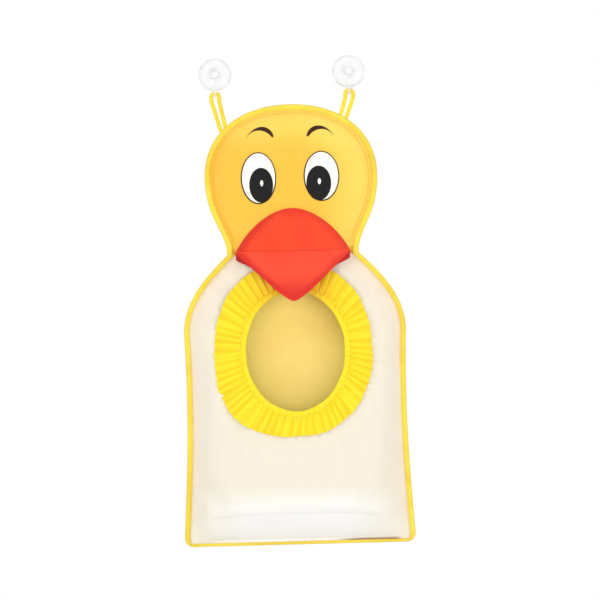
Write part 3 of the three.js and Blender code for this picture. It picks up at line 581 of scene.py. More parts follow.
RIM_NORMALS = inward(vstack([RIM[-2:-1], RIM, RIM[1:2]]))[1:-1]


def ripple(s, seed, waves=5, low=3, high=17):
    """An uneven closed wave from about -1 to 1: sines with seeded counts, phases and heights."""
    pick = np.random.default_rng(seed)
    counts, phases = pick.integers(low, high, waves), pick.uniform(0, TAU, waves)
    heights = pick.uniform(0.5, 1, waves)
    total = sum(h * sin(c * s + p) for h, c, p in zip(heights, counts, phases))
    return total / heights.sum() * 1.6


def let_go(start, held, spread, push, weight, frames=20):
    """Runs Blender's Cloth on a grid that is held in places, and gives the points where it ends.

    The cloth is larger than its frame by the spread, so it wrinkles between its seams, and the push
    fills it forward as wadding or air does.
    """
    rows, columns = start.shape[:2]
    mesh = bpy.data.meshes.new("settling")
    points, faces = start.reshape(-1, 3) * MM, grid_faces(rows, columns, 0)
    mesh.from_pydata(points.tolist(), [], faces.tolist())
    sheet = add_object("settling", mesh)
    pins = sheet.vertex_groups.new(name="held")
    pins.add(np.flatnonzero(held.reshape(-1)).tolist(), 1.0, "REPLACE")
    cloth = sheet.modifiers.new("cloth", "CLOTH")
    rules = cloth.settings
    rules.quality, rules.mass, rules.air_damping = 5, 0.2, 4.0
    rules.tension_stiffness = rules.compression_stiffness = 12.0
    rules.shear_stiffness, rules.bending_stiffness = 6.0, 0.6
    rules.vertex_group_mass, rules.pin_stiffness = "held", 1.0
    rules.shrink_min = -spread
    rules.use_pressure, rules.uniform_pressure_force = True, push
    rules.effector_weights.gravity = weight
    cloth.point_cache.frame_start, cloth.point_cache.frame_end = 1, frames
    for step in range(1, frames + 1):
        bpy.context.scene.frame_set(step)
    settled = sheet.evaluated_get(bpy.context.evaluated_depsgraph_get()).data
    ends = np.empty(rows * columns * 3, np.float32)
    settled.vertices.foreach_get("co", ends)
    bpy.data.objects.remove(sheet)
    bpy.data.meshes.remove(mesh)
    bpy.context.scene.frame_set(1)
    return ends.reshape(rows, columns, 3).astype(float) / MM


def spline(t):
    """The cubic B-spline: 2/3 at its middle, falling smoothly to 0 two steps away."""
    t = abs(t)
    near, far = 2 / 3 - t**2 + t**3 / 2, maximum(2 - t, 0) ** 3 / 6
    return np.where(t < 1, near, far)


class Settled:
    """How far settled cloth stands forward of the shape it was cut to."""

    def __init__(self, box, step, height, held, spread, push, cap, weight=0.0):
        self.low, self.step = np.array(box[0], float), step
        counts = np.ceil((np.array(box[1]) - self.low) / step).astype(int) + 1
        x = self.low[0] + np.arange(counts[0])[None, :] * step
        z = self.low[1] + np.arange(counts[1])[:, None] * step
        x, z = np.broadcast_arrays(x, z)
        start = stack(x, height(x, z), z)
        moved = np.zeros(x.shape)
        moved = (let_go(start, held(x, z), spread, push, weight) - start)[..., 1]
        self.forward = cap * np.tanh(moved / cap)

    def __call__(self, x, z):
        """Each place blends the 16 grid points round it with the weights of a cubic B-spline."""
        rows, columns = self.forward.shape
        across, up = (x - self.low[0]) / self.step, (z - self.low[1]) / self.step
        i, j = np.floor(up).astype(int), np.floor(across).astype(int)
        total = 0.0
        for m in range(-1, 3):
            for n in range(-1, 3):
                at = clip(i + m, 0, rows - 1), clip(j + n, 0, columns - 1)
                total = total + spline(up - i - m) * spline(across - j - n) * self.forward[at]
        return total


def rings(edge, middle, count, power):
    """Rings of x, z points that shrink from an edge to a middle point."""
    share = 1 - linspace(0, 1, count) ** power
    ring = middle + share[:, None, None] * (edge - middle)
    return ring[..., 0], ring[..., 1]


def make_back(finish):
    """The back panel: rings shrink from the rim to the neck's middle, in soft waves."""
    edge = resample(RIM + RIM_NORMALS * Bag.seam_inset, 521)
    x, z = rings(edge, np.array([0.0, Bag.neck_z]), 50, 1.1)
    inside = smooth(rim_distance(x, z), 12, 60)
    wave = 0.8 * sin(x / 17 + z / 41) * sin(z / 29 - x / 60) + 0.6 * sin(x / 9 - z / 33 + 1)
    front = stack(x, Bag.back_front - inside * (wave * 0.55 + 0.6), z)
    back = stack(x, Bag.back_rear + inside * wave * 0.25, z)
    grids = shell(front, back, wrapped=True, outer=False)
    made = piece("back_cloth", grids, "golden_cloth", finish, ["back_panel"])


def bill_half(z):
    """Half width of the upper bill at a height, read from its curved sewn edge."""
    top, corner = (0, Bill.top_z), (Bill.corner_half, Bill.corner_z)
    bows = partway(top, corner, 0.37, 0), partway(top, corner, 0.82, 0.48)
    return half_at(z, bezier(linspace(0, 1, 80), top, *bows, corner))


def head_shape(x, z):
    """The padded face with its seam valley at the neck and small puckers along the binding."""
    bend = np.arctan2(z - Bag.head_wide_z, x)
    near = exp(-maximum(rim_distance(x, z) - 9, 0) / 7.0)
    pucker = near * (0.5 * sin(58 * bend + 2 * sin(5 * bend)) + 0.3 * sin(97 * bend + 1))
    swell = 1.1 * bell(x, 0, 55) * bell(z, -95, 34) + 0.7 * sin(x / 23 + 0.6) * sin(z / 31)
    valley = 3.2 * (1 - smooth(z, Bag.neck_z + 1, Bag.neck_z + 9))
    return face_y(x, z) - rise(x, z) * (swell * 0.8 - pucker) + valley


def head_held(x, z):
    """The face is held along its binding, at the neck and under the bill."""
    outside = abs(x) > half_at(z, HEAD_RIGHT)
    return (rim_distance(x, z) < 8.5) | outside | (abs(x) < bill_half(z) + 2.5)


HEAD_CLOTH = Settled(((-108, -222), (108, -34)), 3.6, head_shape, head_held, 0.012, 2.5, cap=2.2)


def head_front(x, z):
    """The face as it is sewn, with the wrinkles of its settled cloth."""
    return head_shape(x, z) + HEAD_CLOTH(x, z)


def head_region():
    """The head's outline, closed along the neck seam."""
    top = HEAD + inward(HEAD) * Bag.seam_inset
    top[:, 1] = maximum(top[:, 1], Bag.neck_z + 1.2)
    top = resample(top, 420)
    seam = resample(vstack([top[-1], top[0]]), 90)
    return vstack([top, seam[1:]])


def make_head(finish):
    """The padded head: rings shrink from the seam to the middle of the face, over a flat back."""
    x, z = rings(head_region(), np.array([0.0, Bag.head_wide_z]), 52, 1.3)
    front, back = stack(x, head_front(x, z), z), stack(x, Bag.head_back, z)
    grids = shell(front, back, wrapped=True, outer=False)
    # the rim share also places the head cloth's painted shade along the seam
    made = piece("head_pad", grids, "golden_cloth", finish, ["face_panel", "head_foam"],
                 rim=on_shell(grids, rim_share(x, z), 0.2))


def slimmer(z):
    """Share of the tape's width that shows: less along the bottom, where it turns under."""
    return 1 - 0.4 * smooth(-z, 561, 567)


def neck_mitre(end):
    """The normal that both tapes share at the neck: the outline's own, at its nearest point."""
    return RIM_NORMALS[np.argmin(hypot(*(RIM - end).T))]


def tape_section(count=11):
    """Outer and inner lines of tape folded over an edge: a half round on two straight legs."""
    b = Bag
    half = (b.binding_rear - b.binding_front) / 2
    turn = linspace(-np.pi / 2, np.pi / 2, count)
    round_off = 2.4
    outer = np.stack([round_off * (1 - cos(turn)), b.binding_middle + half * sin(turn)], -1)
    legs = linspace(b.binding_width, round_off + 0.8, 3)
    front = np.stack([legs, np.full(3, b.binding_front)], -1)
    rear = np.stack([legs[::-1], np.full(3, b.binding_rear)], -1)
    inner_y = b.binding_middle + (half - b.tape) * linspace(-1, 1, count)
    inner = np.stack([np.full(count, b.tape + 0.2), inner_y], -1)
    return (vstack([front, outer, rear]),
            vstack([front + [0, b.tape], inner, rear - [0, b.tape]]))


def make_binding(name, path, node, finish):
    """Binding tape carried along a stretch of the rim, with a slightly uneven inner edge."""
    path = resample(path, int(run_of(path)[-1] / 2.4))
    normals = inward(path)
    normals[[0, -1]] = neck_mitre(path[0]), neck_mitre(path[-1])
    run = linspace(0, TAU, len(path))
    uneven = (1 + 0.035 * ripple(run, len(path), 7, 9, 60)) * slimmer(path[:, 1])
    ridge = 0.12 * sin(run * len(path) * 0.31)

    def carried(line):
        deep, y = line[:, :1], line[:, 1:]
        x, z = beside(path, normals, deep * np.where(deep > 4, uneven, 1))
        return stack(x, y + ridge * np.sign(y - Bag.binding_middle) * (deep > 3), z)

    outer, inner = tape_section()
    piece(name, shell(carried(outer), carried(inner)), "binding_tape", finish, [node])


def net_shape(x, z):
    """The puffed net: soft upright folds toward the sides, puckers out from the opening."""
    o = Opening
    bend = np.arctan2((z - o.z) / o.half_z, x / o.half_x)
    away = hypot(x / o.half_x, (z - o.z) / o.half_z) - 1
    pucker = 0.7 * exp(-maximum(away, 0) / 0.28) * sin(44 * bend + 2 * sin(3 * bend))
    side = smooth(abs(x), 62, 104)
    fold = side * (1.5 * sin(x / 5.4 + z / 90) + 0.9 * sin(x / 8.7 - z / 47 + 2))
    crease = 1.3 * smooth(-z, 430, 520) * sin(x / 15 + sin(z / 40) * 1.2) * sin(z / 26 + x / 70)
    turn = 6.0 * clip(1 - (z - fold_z(x)) / 13, 0, 1) ** 2
    return net_y(x, z) + rise(x, z) * (pucker + fold * 0.6 + crease * 0.7 + turn)


def net_held(x, z):
    """The net is held at its side seams, at its fold and under the frill."""
    o = Opening
    side = abs(x) > body_half(z) - 9
    frill = hypot((x - o.frill_shift) / (o.frill_x - 3), (z - o.frill_z) / (o.frill_half_z - 3)) < 1
    return side | frill | (z > Bag.neck_z - 4) | (z < fold_z(x) + 3)


NET_CLOTH = Settled(((-142, -560), (142, -212)), 4.2, net_shape, net_held, 0.03, 1.2, cap=4.0,
                    weight=0.3)


def net_front(x, z):
    """The net as it is sewn, with the folds of its settled cloth."""
    return net_shape(x, z) + NET_CLOTH(x, z)


def oval_point(bend, centre_z, half_x, half_z):
    """A point of an ellipse at a bearing from its centre."""
    reach = 1 / hypot(cos(bend) / half_x, sin(bend) / half_z)
    return cos(bend) * reach, centre_z + sin(bend) * reach


def opening_point(bend, outward):
    """A point some way outside the opening's ellipse, at a bearing from its centre."""
    o = Opening
    return oval_point(bend, o.z, o.half_x + outward, o.half_z + outward)


def net_region():
    """The pocket's edge: down the right side, along the fold, up the left and along the neck."""
    low = Bag.fold_z - Bag.fold_dip
    keep = (BODY_RIGHT[:, 1] > low) & (BODY_RIGHT[:, 1] < Bag.neck_z - 0.5)
    corner = [body_half(low), low]
    right = vstack([[Bag.neck_half + 0.6, Bag.neck_z - 0.6], BODY_RIGHT[keep], corner])
    right = resample(right + inward(right) * Bag.seam_inset, 150)
    x = linspace(right[-1, 0], -right[-1, 0], 170)
    fold = np.stack([x, fold_z(x)], -1)
    left = mirrored(right)
    neck = resample(vstack([left[-1], right[0]]), 90)
    return vstack([right, fold[1:], left[1:], neck[1:]])


def make_net(finish):
    """The net: lines run from the opening's ellipse to the pocket's edge at the same bearing."""
    edge = net_region()
    bearing = np.arctan2(edge[:, 1] - Opening.z, edge[:, 0])
    hole = np.stack(opening_point(bearing, 3.5), -1)
    share = column(0, 1, 44)[..., None]
    ring = hole * (1 - share) + edge * share
    x, z = ring[..., 0], ring[..., 1]
    front = stack(x, net_front(x, z), z)
    # the rim share places the net's painted light near the golden rim
    rim = rim_share(x, z)
    made = piece("pocket_net", shell(front, front + [0, Bag.net_thick, 0], wrapped=True), "net",
                 finish, ["pocket_mesh"], rim=shell(rim, rim, wrapped=True))


def make_gusset(finish):
    """The strip under the pocket: from the fold it curves back and down to the binding."""
    start = Bag.fold_z - Bag.fold_dip - Bag.seam_inset
    half = vstack([[body_half(start), start], BODY_RIGHT[BODY_RIGHT[:, 1] < start - 1.5]])
    path = resample(vstack([half, mirrored(half)[1:]]), 240)
    normals = inward(path)
    flat, edge = path + normals * Bag.rim_flat, path + normals * Bag.seam_inset
    x = flat[:, 0]
    top = maximum(flat[:, 1] + 0.3, fold_z(x))
    tuck = stack(x, net_front(x, top + 2) + 0.35, top + 2)
    start_y = net_front(x, top) - 0.15
    share = column(0, 1, 22)
    sag = 1.6 * sin(np.pi * share) * (1 + 0.5 * sin(x / 21)) * smooth(130 - abs(x), 0, 30)
    y = start_y + (Bag.net_flange - start_y) * share - sag
    z = top + (flat[:, 1] - top) * share - sag * 0.6
    seam = stack(edge[:, 0], Bag.net_flange, edge[:, 1])
    front = concatenate([tuck[None], stack(x[None, :], y, z), seam[None]])
    rim = np.ones(front.shape[:2])
    made = piece("bottom_strip", shell(front, front + [0, Bag.net_thick, 0.3]), "net", finish,
                 ["bottom_gusset"], rim=shell(rim, rim))


def make_casing(finish):
    """The casing round the opening: a flattened round section, puckered by its elastic."""
    o = Opening
    bend, turn = row(0, TAU, 481), column(0, TAU, 21)
    pinch = 0.16 * sin(61 * bend + 2 * sin(4 * bend)) + 0.1 * ripple(bend, 4, 6, 20, 90)
    wide = o.casing_width / 2
    outward = wide + wide * cos(turn) + 0.35 * ripple(bend, 9, 5, 4, 12) * (cos(turn) < 0)
    lift = o.casing_half * np.sign(sin(turn)) * abs(sin(turn)) ** 0.8 * (1 + pinch)
    x, z = opening_point(bend, outward)
    surface = stack(x, net_y(x, z) + o.casing_back - lift, z)
    # the fold value sets the casing's painted light and shade in its puckers
    piece("opening_band", [surface], "lemon_cloth", finish, ["opening_casing", "opening_elastic"],
          fold=[np.broadcast_to(0.75 + pinch, x.shape)])


def frill_edge(bend):
    """The frill's outer edge: an oval squarer than an ellipse, and taller under the bill."""
    o = Opening
    x, z = oval_point(bend, o.frill_z, o.frill_x, o.frill_half_z)
    side, up = x / o.frill_x, (z - o.frill_z) / o.frill_half_z
    square = 2.3 + smooth(-up, 0, 0.5) * (0.05 - 0.25 * side)
    full = (abs(side) ** square + abs(up) ** square) ** (-1 / square)
    taller = 1 + 0.09 * smooth(up, 0, 0.6)
    return o.frill_shift + x * full, o.frill_z + (z - o.frill_z) * full * taller


def make_frill(finish):
    """The frill: gathers start tight at the casing, widen outward and scallop the outer edge.

    It is pressed flat where the bill hangs over it.
    """
    bend, v = row(0, TAU, 1321), column(0, 1, 17)
    phase = 58 * bend + 1.8 * sin(5 * bend + 0.6) + 1.4 * sin(8 * bend + 2.1) + 1.1 * sin(13 * bend)
    uneven = 1 + 0.35 * ripple(bend, 21, 6, 4, 24)
    broad = uneven * (sin(phase + 0.7 * v) + 0.28 * sin(2 * phase + 1.2))
    tight = sin(2 * phase + 0.9) + 0.5 * sin(3 * phase + 2 * sin(7 * bend))
    near = exp(-v / 0.3)
    gather = (0.5 + 0.75 * v) * broad + 0.55 * near * tight + 0.9 * v * ripple(bend, 12, 6, 7, 26)
    inner = opening_point(bend, Opening.casing_width - 0.9)
    outer = frill_edge(bend)
    reach = v + v**2 * (0.012 * sin(phase + 2.2) + 0.02 * ripple(bend, 33, 5, 6, 20))
    x = inner[0] + (outer[0] - inner[0]) * reach
    z = inner[1] + (outer[1] - inner[1]) * reach
    lift = 1.0 + 13.4 * v - 11.2 * v**2
    pressed = 1 - 0.6 * smooth(z, -268.0, -238.0)
    front = stack(x, net_y(x, z) - (lift + gather) * pressed - 0.9 * (1 - pressed), z)
    thick = 0.8 + 0.7 * smooth(v, 0.86, 0.9)
    back = front + stack(0, thick + 0 * bend, 0)
    # height of the gathers: it places painted light on their crests and painted shade in their
    # valleys
    fold = clip(0.55 + gather / 3.6 + 0.12 * tight * near, 0, 1)
    made = piece("frill", shell(front, back, wrapped=True), "lemon_cloth", finish,
                 ["opening_frill"], fold=shell(fold, fold, wrapped=True))


def bill_inset(x, z):
    """Padding room of the upper bill: how far a place is from its sides and its arched seam."""
    return maximum(0, minimum((bill_half(z) - abs(x)) * 0.8, (Bill.top_z - z) * 0.9))


def bill_shape(x, z):
    """Front of the upper bill: padded up as a quarter sine from its arched seam and its sides."""
    inset = bill_inset(x, z)
    pad = Bill.pad * quarter(inset / 17) ** 0.75
    crumple = 0.25 * sin(x / 6 + z / 9) * sin(z / 7) * smooth(inset, 0, 8)
    return face_y(x, z) - 0.8 - pad - crumple


def flap_half(v):
    """Half width of the flap down its slope: straight sides that round off at the tip."""
    start = Bill.corner_half - 0.3
    return (start + (Bill.tip_half - start) * v) * np.sqrt(maximum(0, 1 - v**12)) + 0.3


def flap_inset(x, v):
    """Padding room of the flap: how far a place is from its slanting sides and from its tip."""
    return maximum(0, minimum((flap_half(v) - abs(x)) * 0.72, (1 - v) * 70))


def flap_lift(x, down):
    """How far the flap stands off its back: padded up from its edges, full at the crease."""
    v = clip(-down / Bill.drop, 0, 1)
    inset = flap_inset(x, v)
    pad = (Bill.pad - Bill.edge) * quarter(inset / 15) ** 0.8
    crumple = 0.3 * sin(x / 8 + v * 4) * sin(v * 9 + 1) * smooth(inset, 1, 9)
    return Bill.edge + pad + crumple + 1.1 * bell(v, 0, 0.16) * smooth(inset, 0, 12)


def bill_held(x, z):
    """The upper bill is held along its sewn edge and above its crease."""
    return (abs(x) > bill_half(z) - 1.5) | (z < Bill.crease_z + 5)


def flap_held(x, down):
    """The flap is held along its sides, at the crease and at its tip."""
    side = abs(x) > flap_half(clip(-down / Bill.drop, 0, 1)) - 1.5
    return side | (down > -3) | (down < 3 - Bill.drop)


BILL_CLOTH = Settled(((-74, -216), (74, -160)), 2.0, bill_shape, bill_held, 0.03, 3.0, cap=1.4)
FLAP_CLOTH = Settled(((-74, -60), (74, 2)), 2.0, lambda x, down: -flap_lift(x, down), flap_held,
                     0.03, 3.0, cap=1.4)


def across_bill():
    """Shares of the bill's half width, closer together toward its sides."""
    return sin(row(-np.pi / 2, np.pi / 2, 61))


def make_bill_top(finish):
    """The upper bill: rows go down from its arched seam to a hair's breadth above the crease."""
    b = Bill
    v = column(0, 1, 34) ** 1.5
    z = b.top_z - 0.2 - (b.top_z - b.crease_z - 0.38) * v
    x = across_bill() * bill_half(z)
    front = stack(x, bill_shape(x, z) + BILL_CLOTH(x, z), z)
    grids = shell(front, stack(x, face_y(x, z) - 0.45, z))
    # the rim share places the red cloth's painted shade along the upper bill's edges
    rim = clip(bill_inset(x, z) / 16, 0, 1)
    made = piece("bill_upper", grids, "red_cloth", finish, ["bill_top", "bill_top_foam"],
                 rim=on_shell(grids, rim, 0.1, 1.0, 0.1, 0.1))


def flap_surface(v, lift, margin=0.0):
    """Rows of the flap: across its width, down its slope and lifted square to it."""
    b = Bill
    y = b.crease_y - v * b.drop * np.tan(b.lean) - lift * cos(b.lean)
    z = b.crease_z - v * b.drop - lift * sin(b.lean) * v
    return stack(across_bill() * (flap_half(v) + margin), y, z)


def make_bill_flap(finish, lining_finish):
    """The flap that hangs over the opening, padded up from its edges, and its lining, darkened as
    painted shade.
    """
    v = 1 - (1 - column(0, 1, 44)) ** 1.25
    u = across_bill()
    x, down = u * flap_half(v), -v * Bill.drop + 0 * u
    front = flap_surface(v, flap_lift(x, down) - FLAP_CLOTH(x, down))
    grids = shell(front, flap_surface(v, 1.3))
    # the rim share places the flap's painted shade along its edges and toward its tip
    rim = clip(flap_inset(x, v) / 14, 0, 1) * (1 - 0.75 * smooth(v, 0.72, 1.0))
    flap = piece("bill_lower", grids, "red_cloth", finish, ["bill_flap", "bill_flap_foam"], "bill",
                 rim=on_shell(grids, rim, 1.0, 0.1, 0.1, 0.1))
    corner = 8.0 * bell(v, 0.17, 0.09)
    sunk = 0.5 * sin(v * 11) * (1 - u**2)
    front, back = flap_surface(v, 0.95, corner), flap_surface(v, 0.05 - sunk * 0.3, corner)
    lining = piece("bill_lining_cloth", shell(front, back), "dark_red_cloth", lining_finish,
                   ["bill_lining"], "bill")


def make_film(name, middle, half, lift, thick, slot, finish, node, rows=16, columns=97):
    """An oval of film bonded to the face: rings shrink to its middle, and its edge rounds off."""
    turn, share = row(0, TAU, columns), column(1, 0, rows)
    x, z = middle[0] + half[0] * share * cos(turn), middle[1] + half[1] * share * sin(turn)
    base = head_front(x, z) - lift
    front = stack(x, base - thick * (1 - 0.7 * share**10), z)
    grids = shell(front, stack(x, base, z), wrapped=True, outer=False)
    piece(name, grids, slot, finish, [node])


def make_outline(name, middle, half, finish):
    """A thin raised line round an eye: a small round section carried along the oval."""
    turn, around = row(0, TAU, 145), column(0, TAU, 9)
    wide = 0.75 + 0.12 * sin(turn + 3.8)
    x = middle[0] + (half[0] + wide * cos(around)) * cos(turn)
    z = middle[1] + (half[1] + wide * cos(around)) * sin(turn)
    y = head_front(x, z) - 0.35 - 0.42 * sin(around)
    piece(name, [stack(x, y, z)], "brown_film", finish)


def make_brow(name, side, finish, node):
    """A brow: a long thin tail outward, an arch, and a thick round end toward the nose."""
    t = linspace(0.0, 1.0, 49)
    out = 1.0 if side < 0 else -0.6
    middle = bezier(t, (side * 52.6 + out, -77.3), (side * 46.0 + out, -66.0),
                    (side * 28.0 + out, -62.4), (side * 21.2 + out, -78.6))
    wide = 2.75 * (0.04 + 0.96 * smooth(t, 0.0, 0.75)) * np.sqrt(maximum(0.0, 1 - t**7))
    across = column(-1, 1, 9)
    x, z = beside(middle, inward(middle), wide * across)
    base = head_front(x, z)
    front = stack(x, base - 0.3 - 0.45 * np.sqrt(1 - across**2 * 0.96), z)
    piece(name, shell(front, stack(x, base - 0.25, z)), "brown_film", finish, [node])


EYES = {  # middle and half widths of each eye, its pupil and its glint
    "left": (((-38.9, -126.8), (20.5, 30.3)), ((-35.9, -135.3), (14.3, 20.8)),
             ((-35.2, -133.0), (1.9, 3.6))),
    "right": (((36.6, -126.0), (20.6, 29.3)), ((33.2, -134.4), (14.8, 20.8)),
              ((33.9, -132.4), (1.9, 3.6)))}


def make_eyes(white, black, brown):
    for word, side in SIDES:
        eye, pupil, glint = EYES[word]
        make_film(f"eye_{word}", *eye, 0.25, 0.45, "white_film", white, f"eye_white_{word}")
        make_outline(f"eye_line_{word}", *eye, brown)
        make_film(f"pupil_disc_{word}", *pupil, 0.75, 0.35, "black_film", black, f"pupil_{word}")
        make_film(f"glint_dot_{word}", *glint, 1.15, 0.3, "white_film", white, f"glint_{word}",
                  rows=6, columns=25)
        make_brow(f"brow_film_{word}", side, brown, f"brow_{word}")


def make_loop(name, side, finish, node):
    """A tape loop: a rounded flat section carried up one leg, round the hook and down the other."""
    c = Cup
    legs = c.arm_radius + c.play + c.tape_wide / 2
    apex = np.array([side * c.spacing / 2 + c.shift, -c.drop])
    centre = apex - [0, legs]
    turn = linspace(np.pi, 0, 29)
    arch = centre + legs * np.stack([cos(turn), sin(turn)], -1)
    foot_x, foot_z, apart = side * 67.0 - 10.0, -78.5, 2.75
    path = vstack([[foot_x - apart, foot_z], [centre[0] - legs, apex[1] - 9], arch,
                   [centre[0] + legs, apex[1] - 9], [foot_x + apart, foot_z]])
    path = resample(path, 150)
    soft = path.copy()
    for _ in range(6):
        soft[1:-1] = (soft[:-2] + 2 * soft[1:-1] + soft[2:]) / 4
    near_apex = smooth(soft[:, 1], apex[1] - 14, apex[1] - 8)[:, None]
    path = soft * (1 - near_apex) + path * near_apex
    above = abs(path[:, 0]) > half_at(path[:, 1], HEAD_RIGHT)
    path = path[above | (rim_distance(path[:, 0], path[:, 1]) < 3.4)]
    around = column(0, TAU, 17)
    bulge = lambda w: np.sign(w) * abs(w) ** 0.6
    groove = 1 - 0.18 * bell(cos(around), 0, 0.3)
    thick = c.tape_thick / 2 * bulge(sin(around)) * groove
    x, z = beside(path, inward(path), c.tape_wide / 2 * bulge(cos(around)))
    skin = stack(x, Bag.binding_middle + thick, z)
    closing = [np.stack([end, 0 * end + end.mean(0)]) for end in (skin[:, 0], skin[:, -1])]
    piece(name, [skin, *closing], "binding_tape", finish, [node])


def make_cup(word, side, finish):
    """A suction cup: a profile from the hollow over the lip to the knob, turned about its axis."""
    c = Cup
    t = linspace(0, 1, 16)
    land, low = c.lip - c.land, (c.lip - 0.6, -2.0)
    hollow = bezier(t, (0, -c.hollow), (land * 0.7, -c.hollow * 0.85), (land, -0.05))
    lip = bezier(t[::3], (land, -0.05), (c.lip + 0.1, 0.0), (c.lip + 0.1, -1.4), low)
    dome = bezier(t, low, (c.lip * 0.78, -4.3), (c.shoulder * 1.3, -c.depth * 0.8),
                  (c.shoulder, -c.depth))
    back, front = c.knob_back, c.knob_front
    knob = [(c.neck + 0.8, -c.depth - 0.1), (c.neck, -c.depth - 0.5), (c.neck, back + 0.3),
            (c.neck + 0.3, back + 0.05), (c.knob - 0.7, back), (c.knob, back - 0.6),
            (c.knob, front + 0.8), (c.knob - 0.8, front), (2.0, front), (1.6, front + 0.4),
            (0, front + 0.5)]
    profile = vstack([hollow, lip[1:], dome[1:], knob])
    turn = row(0, TAU, 73)
    r, y = profile[:, :1], profile[:, 1:]
    skin = stack(side * c.spacing / 2 + c.shift + r * cos(turn), y + 0 * turn, r * sin(turn))
    # painted shade and reflection: more opaque at the lip and round the knob, where the clear
    # plastic turns edge-on
    veil = bell(r, c.lip - 1.2, 1.6) + 0.8 * bell(r, c.knob - 0.6, 1.4) * (y < -9) + 0 * turn
    piece(f"cup_bell_{word}", [skin], "clear_vinyl", finish, [f"suction_cup_{word}"], f"cup_{word}",
          sharp=40, veil=[veil])


def refinish(node, finish):
    """A CAD node whose shape stays gets a finish in its own material slots."""
    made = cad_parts[node]
    if not made.material_slots:
        made.data.materials.append(finish.material)
    for held in made.material_slots:
        held.material = finish.material


def make_stitches(name, path, outward, slot, finish, pitch=3.6, length=2.7, radius=0.42):
    """A row of stitches: small closed beads along the seam, bowed up off the cloth."""
    run = run_of(path)
    count = int(run[-1] / pitch)
    at = (np.arange(count) + 0.5) * run[-1] / count
    inside = lambda where: np.stack([np.interp(where, run, path[:, k]) for k in range(3)], -1)
    middle = inside(at)
    along = unit(inside(at + 0.5) - inside(at - 0.5))
    up = np.broadcast_to(np.asarray(outward, float), middle.shape)
    up = unit(up - (up * along).sum(1, keepdims=True) * along)
    t, turn = column(0, 1, 6), row(0, TAU, 7)
    girth, bow = radius * sin(np.pi * t) ** 0.5, 0.25 * sin(np.pi * t)
    local = (t - 0.5) * length + 0 * turn, girth * cos(turn), girth * sin(turn) * 0.75 + bow
    axes = along, np.cross(along, up), up
    beads = sum(part[None, ..., None] * axis[:, None, None, :] for part, axis in zip(local, axes))
    piece(name, list(beads + middle[:, None, None, :]), slot, finish)


def make_seams(yellow, golden, lemon):
    """Stitches on both faces of the binding, round the face and round the casing."""
    def seam(path, deep, surface):
        line = resample(path + inward(path) * deep * slimmer(path[:, 1:]), 400)
        x, z = line.T
        return stack(x, surface(x, z), z)

    toward, away = (0, -1, 0), (0, 1, 0)
    for end, y, outward in (("", Bag.binding_front - 0.1, toward),
                            ("_rear", Bag.binding_rear + 0.1, away)):
        for name, path in (("head_seam", HEAD), ("body_seam", BODY)):
            line = seam(path, 5.3, lambda x, z: y)
            make_stitches(name + end, line, outward, "binding_tape", yellow)
    line = seam(HEAD[6:-6], 10.6, lambda x, z: head_front(x, z) - 0.1)
    make_stitches("face_seam", line, toward, "golden_cloth", golden)
    x, z = opening_point(linspace(0, TAU, 500), 6.3)
    line = stack(x, net_y(x, z) + Opening.casing_back - 1.75, z)
    make_stitches("casing_seam", line, toward, "lemon_cloth", lemon, 3.2, 2.3, 0.26)


def white_behind(tree):
    """1 for what the camera, gloss and clear plastic see, 0 for the light that falls on things."""
    path = tree.nodes.new("ShaderNodeLightPath")
    seen = path.outputs["Is Camera Ray"]
    for ray in ("Is Transmission Ray", "Is Glossy Ray"):
        either = tree.nodes.new("ShaderNodeMath")
        either.operation = "MAXIMUM"
        tree.links.new(seen, either.inputs[0])
        tree.links.new(path.outputs[ray], either.inputs[1])
        seen = either.outputs[0]
    return seen


LIGHTS = {  # place, size and power
    "key": ((-1.3, -1.9, 0.4), 1.5, 9.5),
    "fill": ((1.4, -1.8, -0.6), 1.5, 12.5),
    "front": ((0.1, -3.2, -0.5), 1.6, 15.0)}
LIT = Vector((0.0, 0.0, -0.28))


def make_light():
    """A white surrounding that lights things more softly than it looks, and three large lamps."""
    world = bpy.data.worlds.new("studio")
    bpy.context.scene.world = world
    world.use_nodes = True
    tree = world.node_tree
    background = tree.nodes["Background"]
    background.inputs["Color"].default_value = (1, 1, 1, 1)
    level = tree.nodes.new("ShaderNodeMapRange")
    tree.links.new(white_behind(tree), level.inputs["Value"])
    level.inputs["To Min"].default_value = 0.78
    level.inputs["To Max"].default_value = 1.0
    tree.links.new(level.outputs[0], background.inputs["Strength"])
    for name, (place, size, power) in LIGHTS.items():
        data = bpy.data.lights.new(name, "AREA")
        data.size, data.energy = size, power
        lamp = add_object(name, data)
        lamp.location = place
        lamp.rotation_euler = (LIT - lamp.location).to_track_quat("-Z", "Y").to_euler()


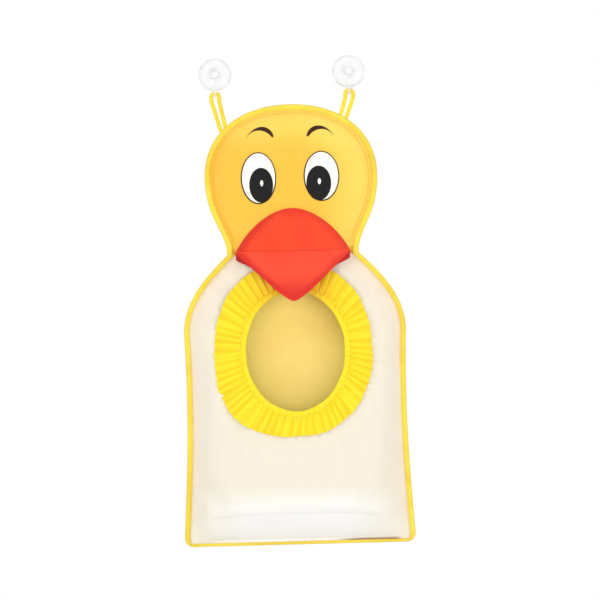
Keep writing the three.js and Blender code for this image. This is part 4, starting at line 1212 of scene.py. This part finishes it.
def make_floor():
    """A plain pale floor under the bag, darkened only by shadow."""
    mesh = bpy.data.meshes.new("floor")
    wide, rear, low = 3.0, 0.6, -0.78
    corners = [(-wide, -wide, low), (wide, -wide, low), (wide, rear, low), (-wide, rear, low)]
    mesh.from_pydata(corners, [], [(0, 1, 2, 3)])
    finish = Finish("floor", Base_Color=paint(250, 250, 250), Roughness=0.9, Specular_IOR_Level=0.1)
    mesh.materials.append(finish.material)
    add_object("floor", mesh)


make_camera()
make_light()
make_floor()

golden = head_cloth()
backing = back_weave()
lemon = lemon_cloth()
tape = tape_cloth("yellow binding tape", (252, 230, 72), (240, 206, 56))
loop_tape = tape_cloth("yellow loop tape", (255, 229, 58), (240, 204, 44))
net = net_cloth()
red = bill_cloth("red bill cloth", (250, 67, 22), (224, 42, 14))
# painted light: a lighter copy of the red cloth for the flap, which slopes up toward the light
red_flap_painted_lighter = bill_cloth("red flap cloth painted lighter", (251, 75, 43), (222, 33, 18))
# painted shade: the flap's lining is a darker copy of the red cloth, for the shade under the bill's
# corners
lining = woven("red lining darkened as painted shade", (196, 30, 26), (160, 20, 22), roughness=0.8)
white = film("white film", (254, 254, 242), (250, 249, 230), 0.5)
black = film("black film", (20, 17, 18), (12, 11, 12), 0.6)
brown = film("dark brown film", (62, 30, 20), (44, 20, 14), 0.5)
vinyl = clear_plastic("clear vinyl", (226, 228, 230), 0.1, 0.18, shaded=True)
hook_plastic = clear_plastic("clear hook plastic", (224, 226, 228), 0.3, 0.15)
thread = woven("yellow thread", (250, 222, 80), (232, 190, 50), 0.4)
lemon_thread = woven("lemon thread", (252, 226, 44), (248, 214, 30), 0.4)
golden_thread = woven("golden thread", (246, 190, 70), (228, 164, 46), 0.4)

for word, side in SIDES:
    make_cup(word, side, vinyl)
    refinish(f"hook_{word}", hook_plastic)
make_binding("head_binding_tape", HEAD, "head_binding", tape)
make_binding("body_binding_tape", BODY, "body_binding", tape)
make_head(golden)
make_net(net)
make_gusset(net)
make_casing(lemon)
make_frill(lemon)
make_bill_top(red)
make_bill_flap(red_flap_painted_lighter, lining)
make_eyes(white, black, brown)
for word, side in SIDES:
    make_loop(f"tape_loop_{word}", side, loop_tape, f"hanging_loop_{word}")
make_back(backing)
make_seams(thread, golden_thread, lemon_thread)

bpy.context.scene.view_settings.view_transform = "Standard"
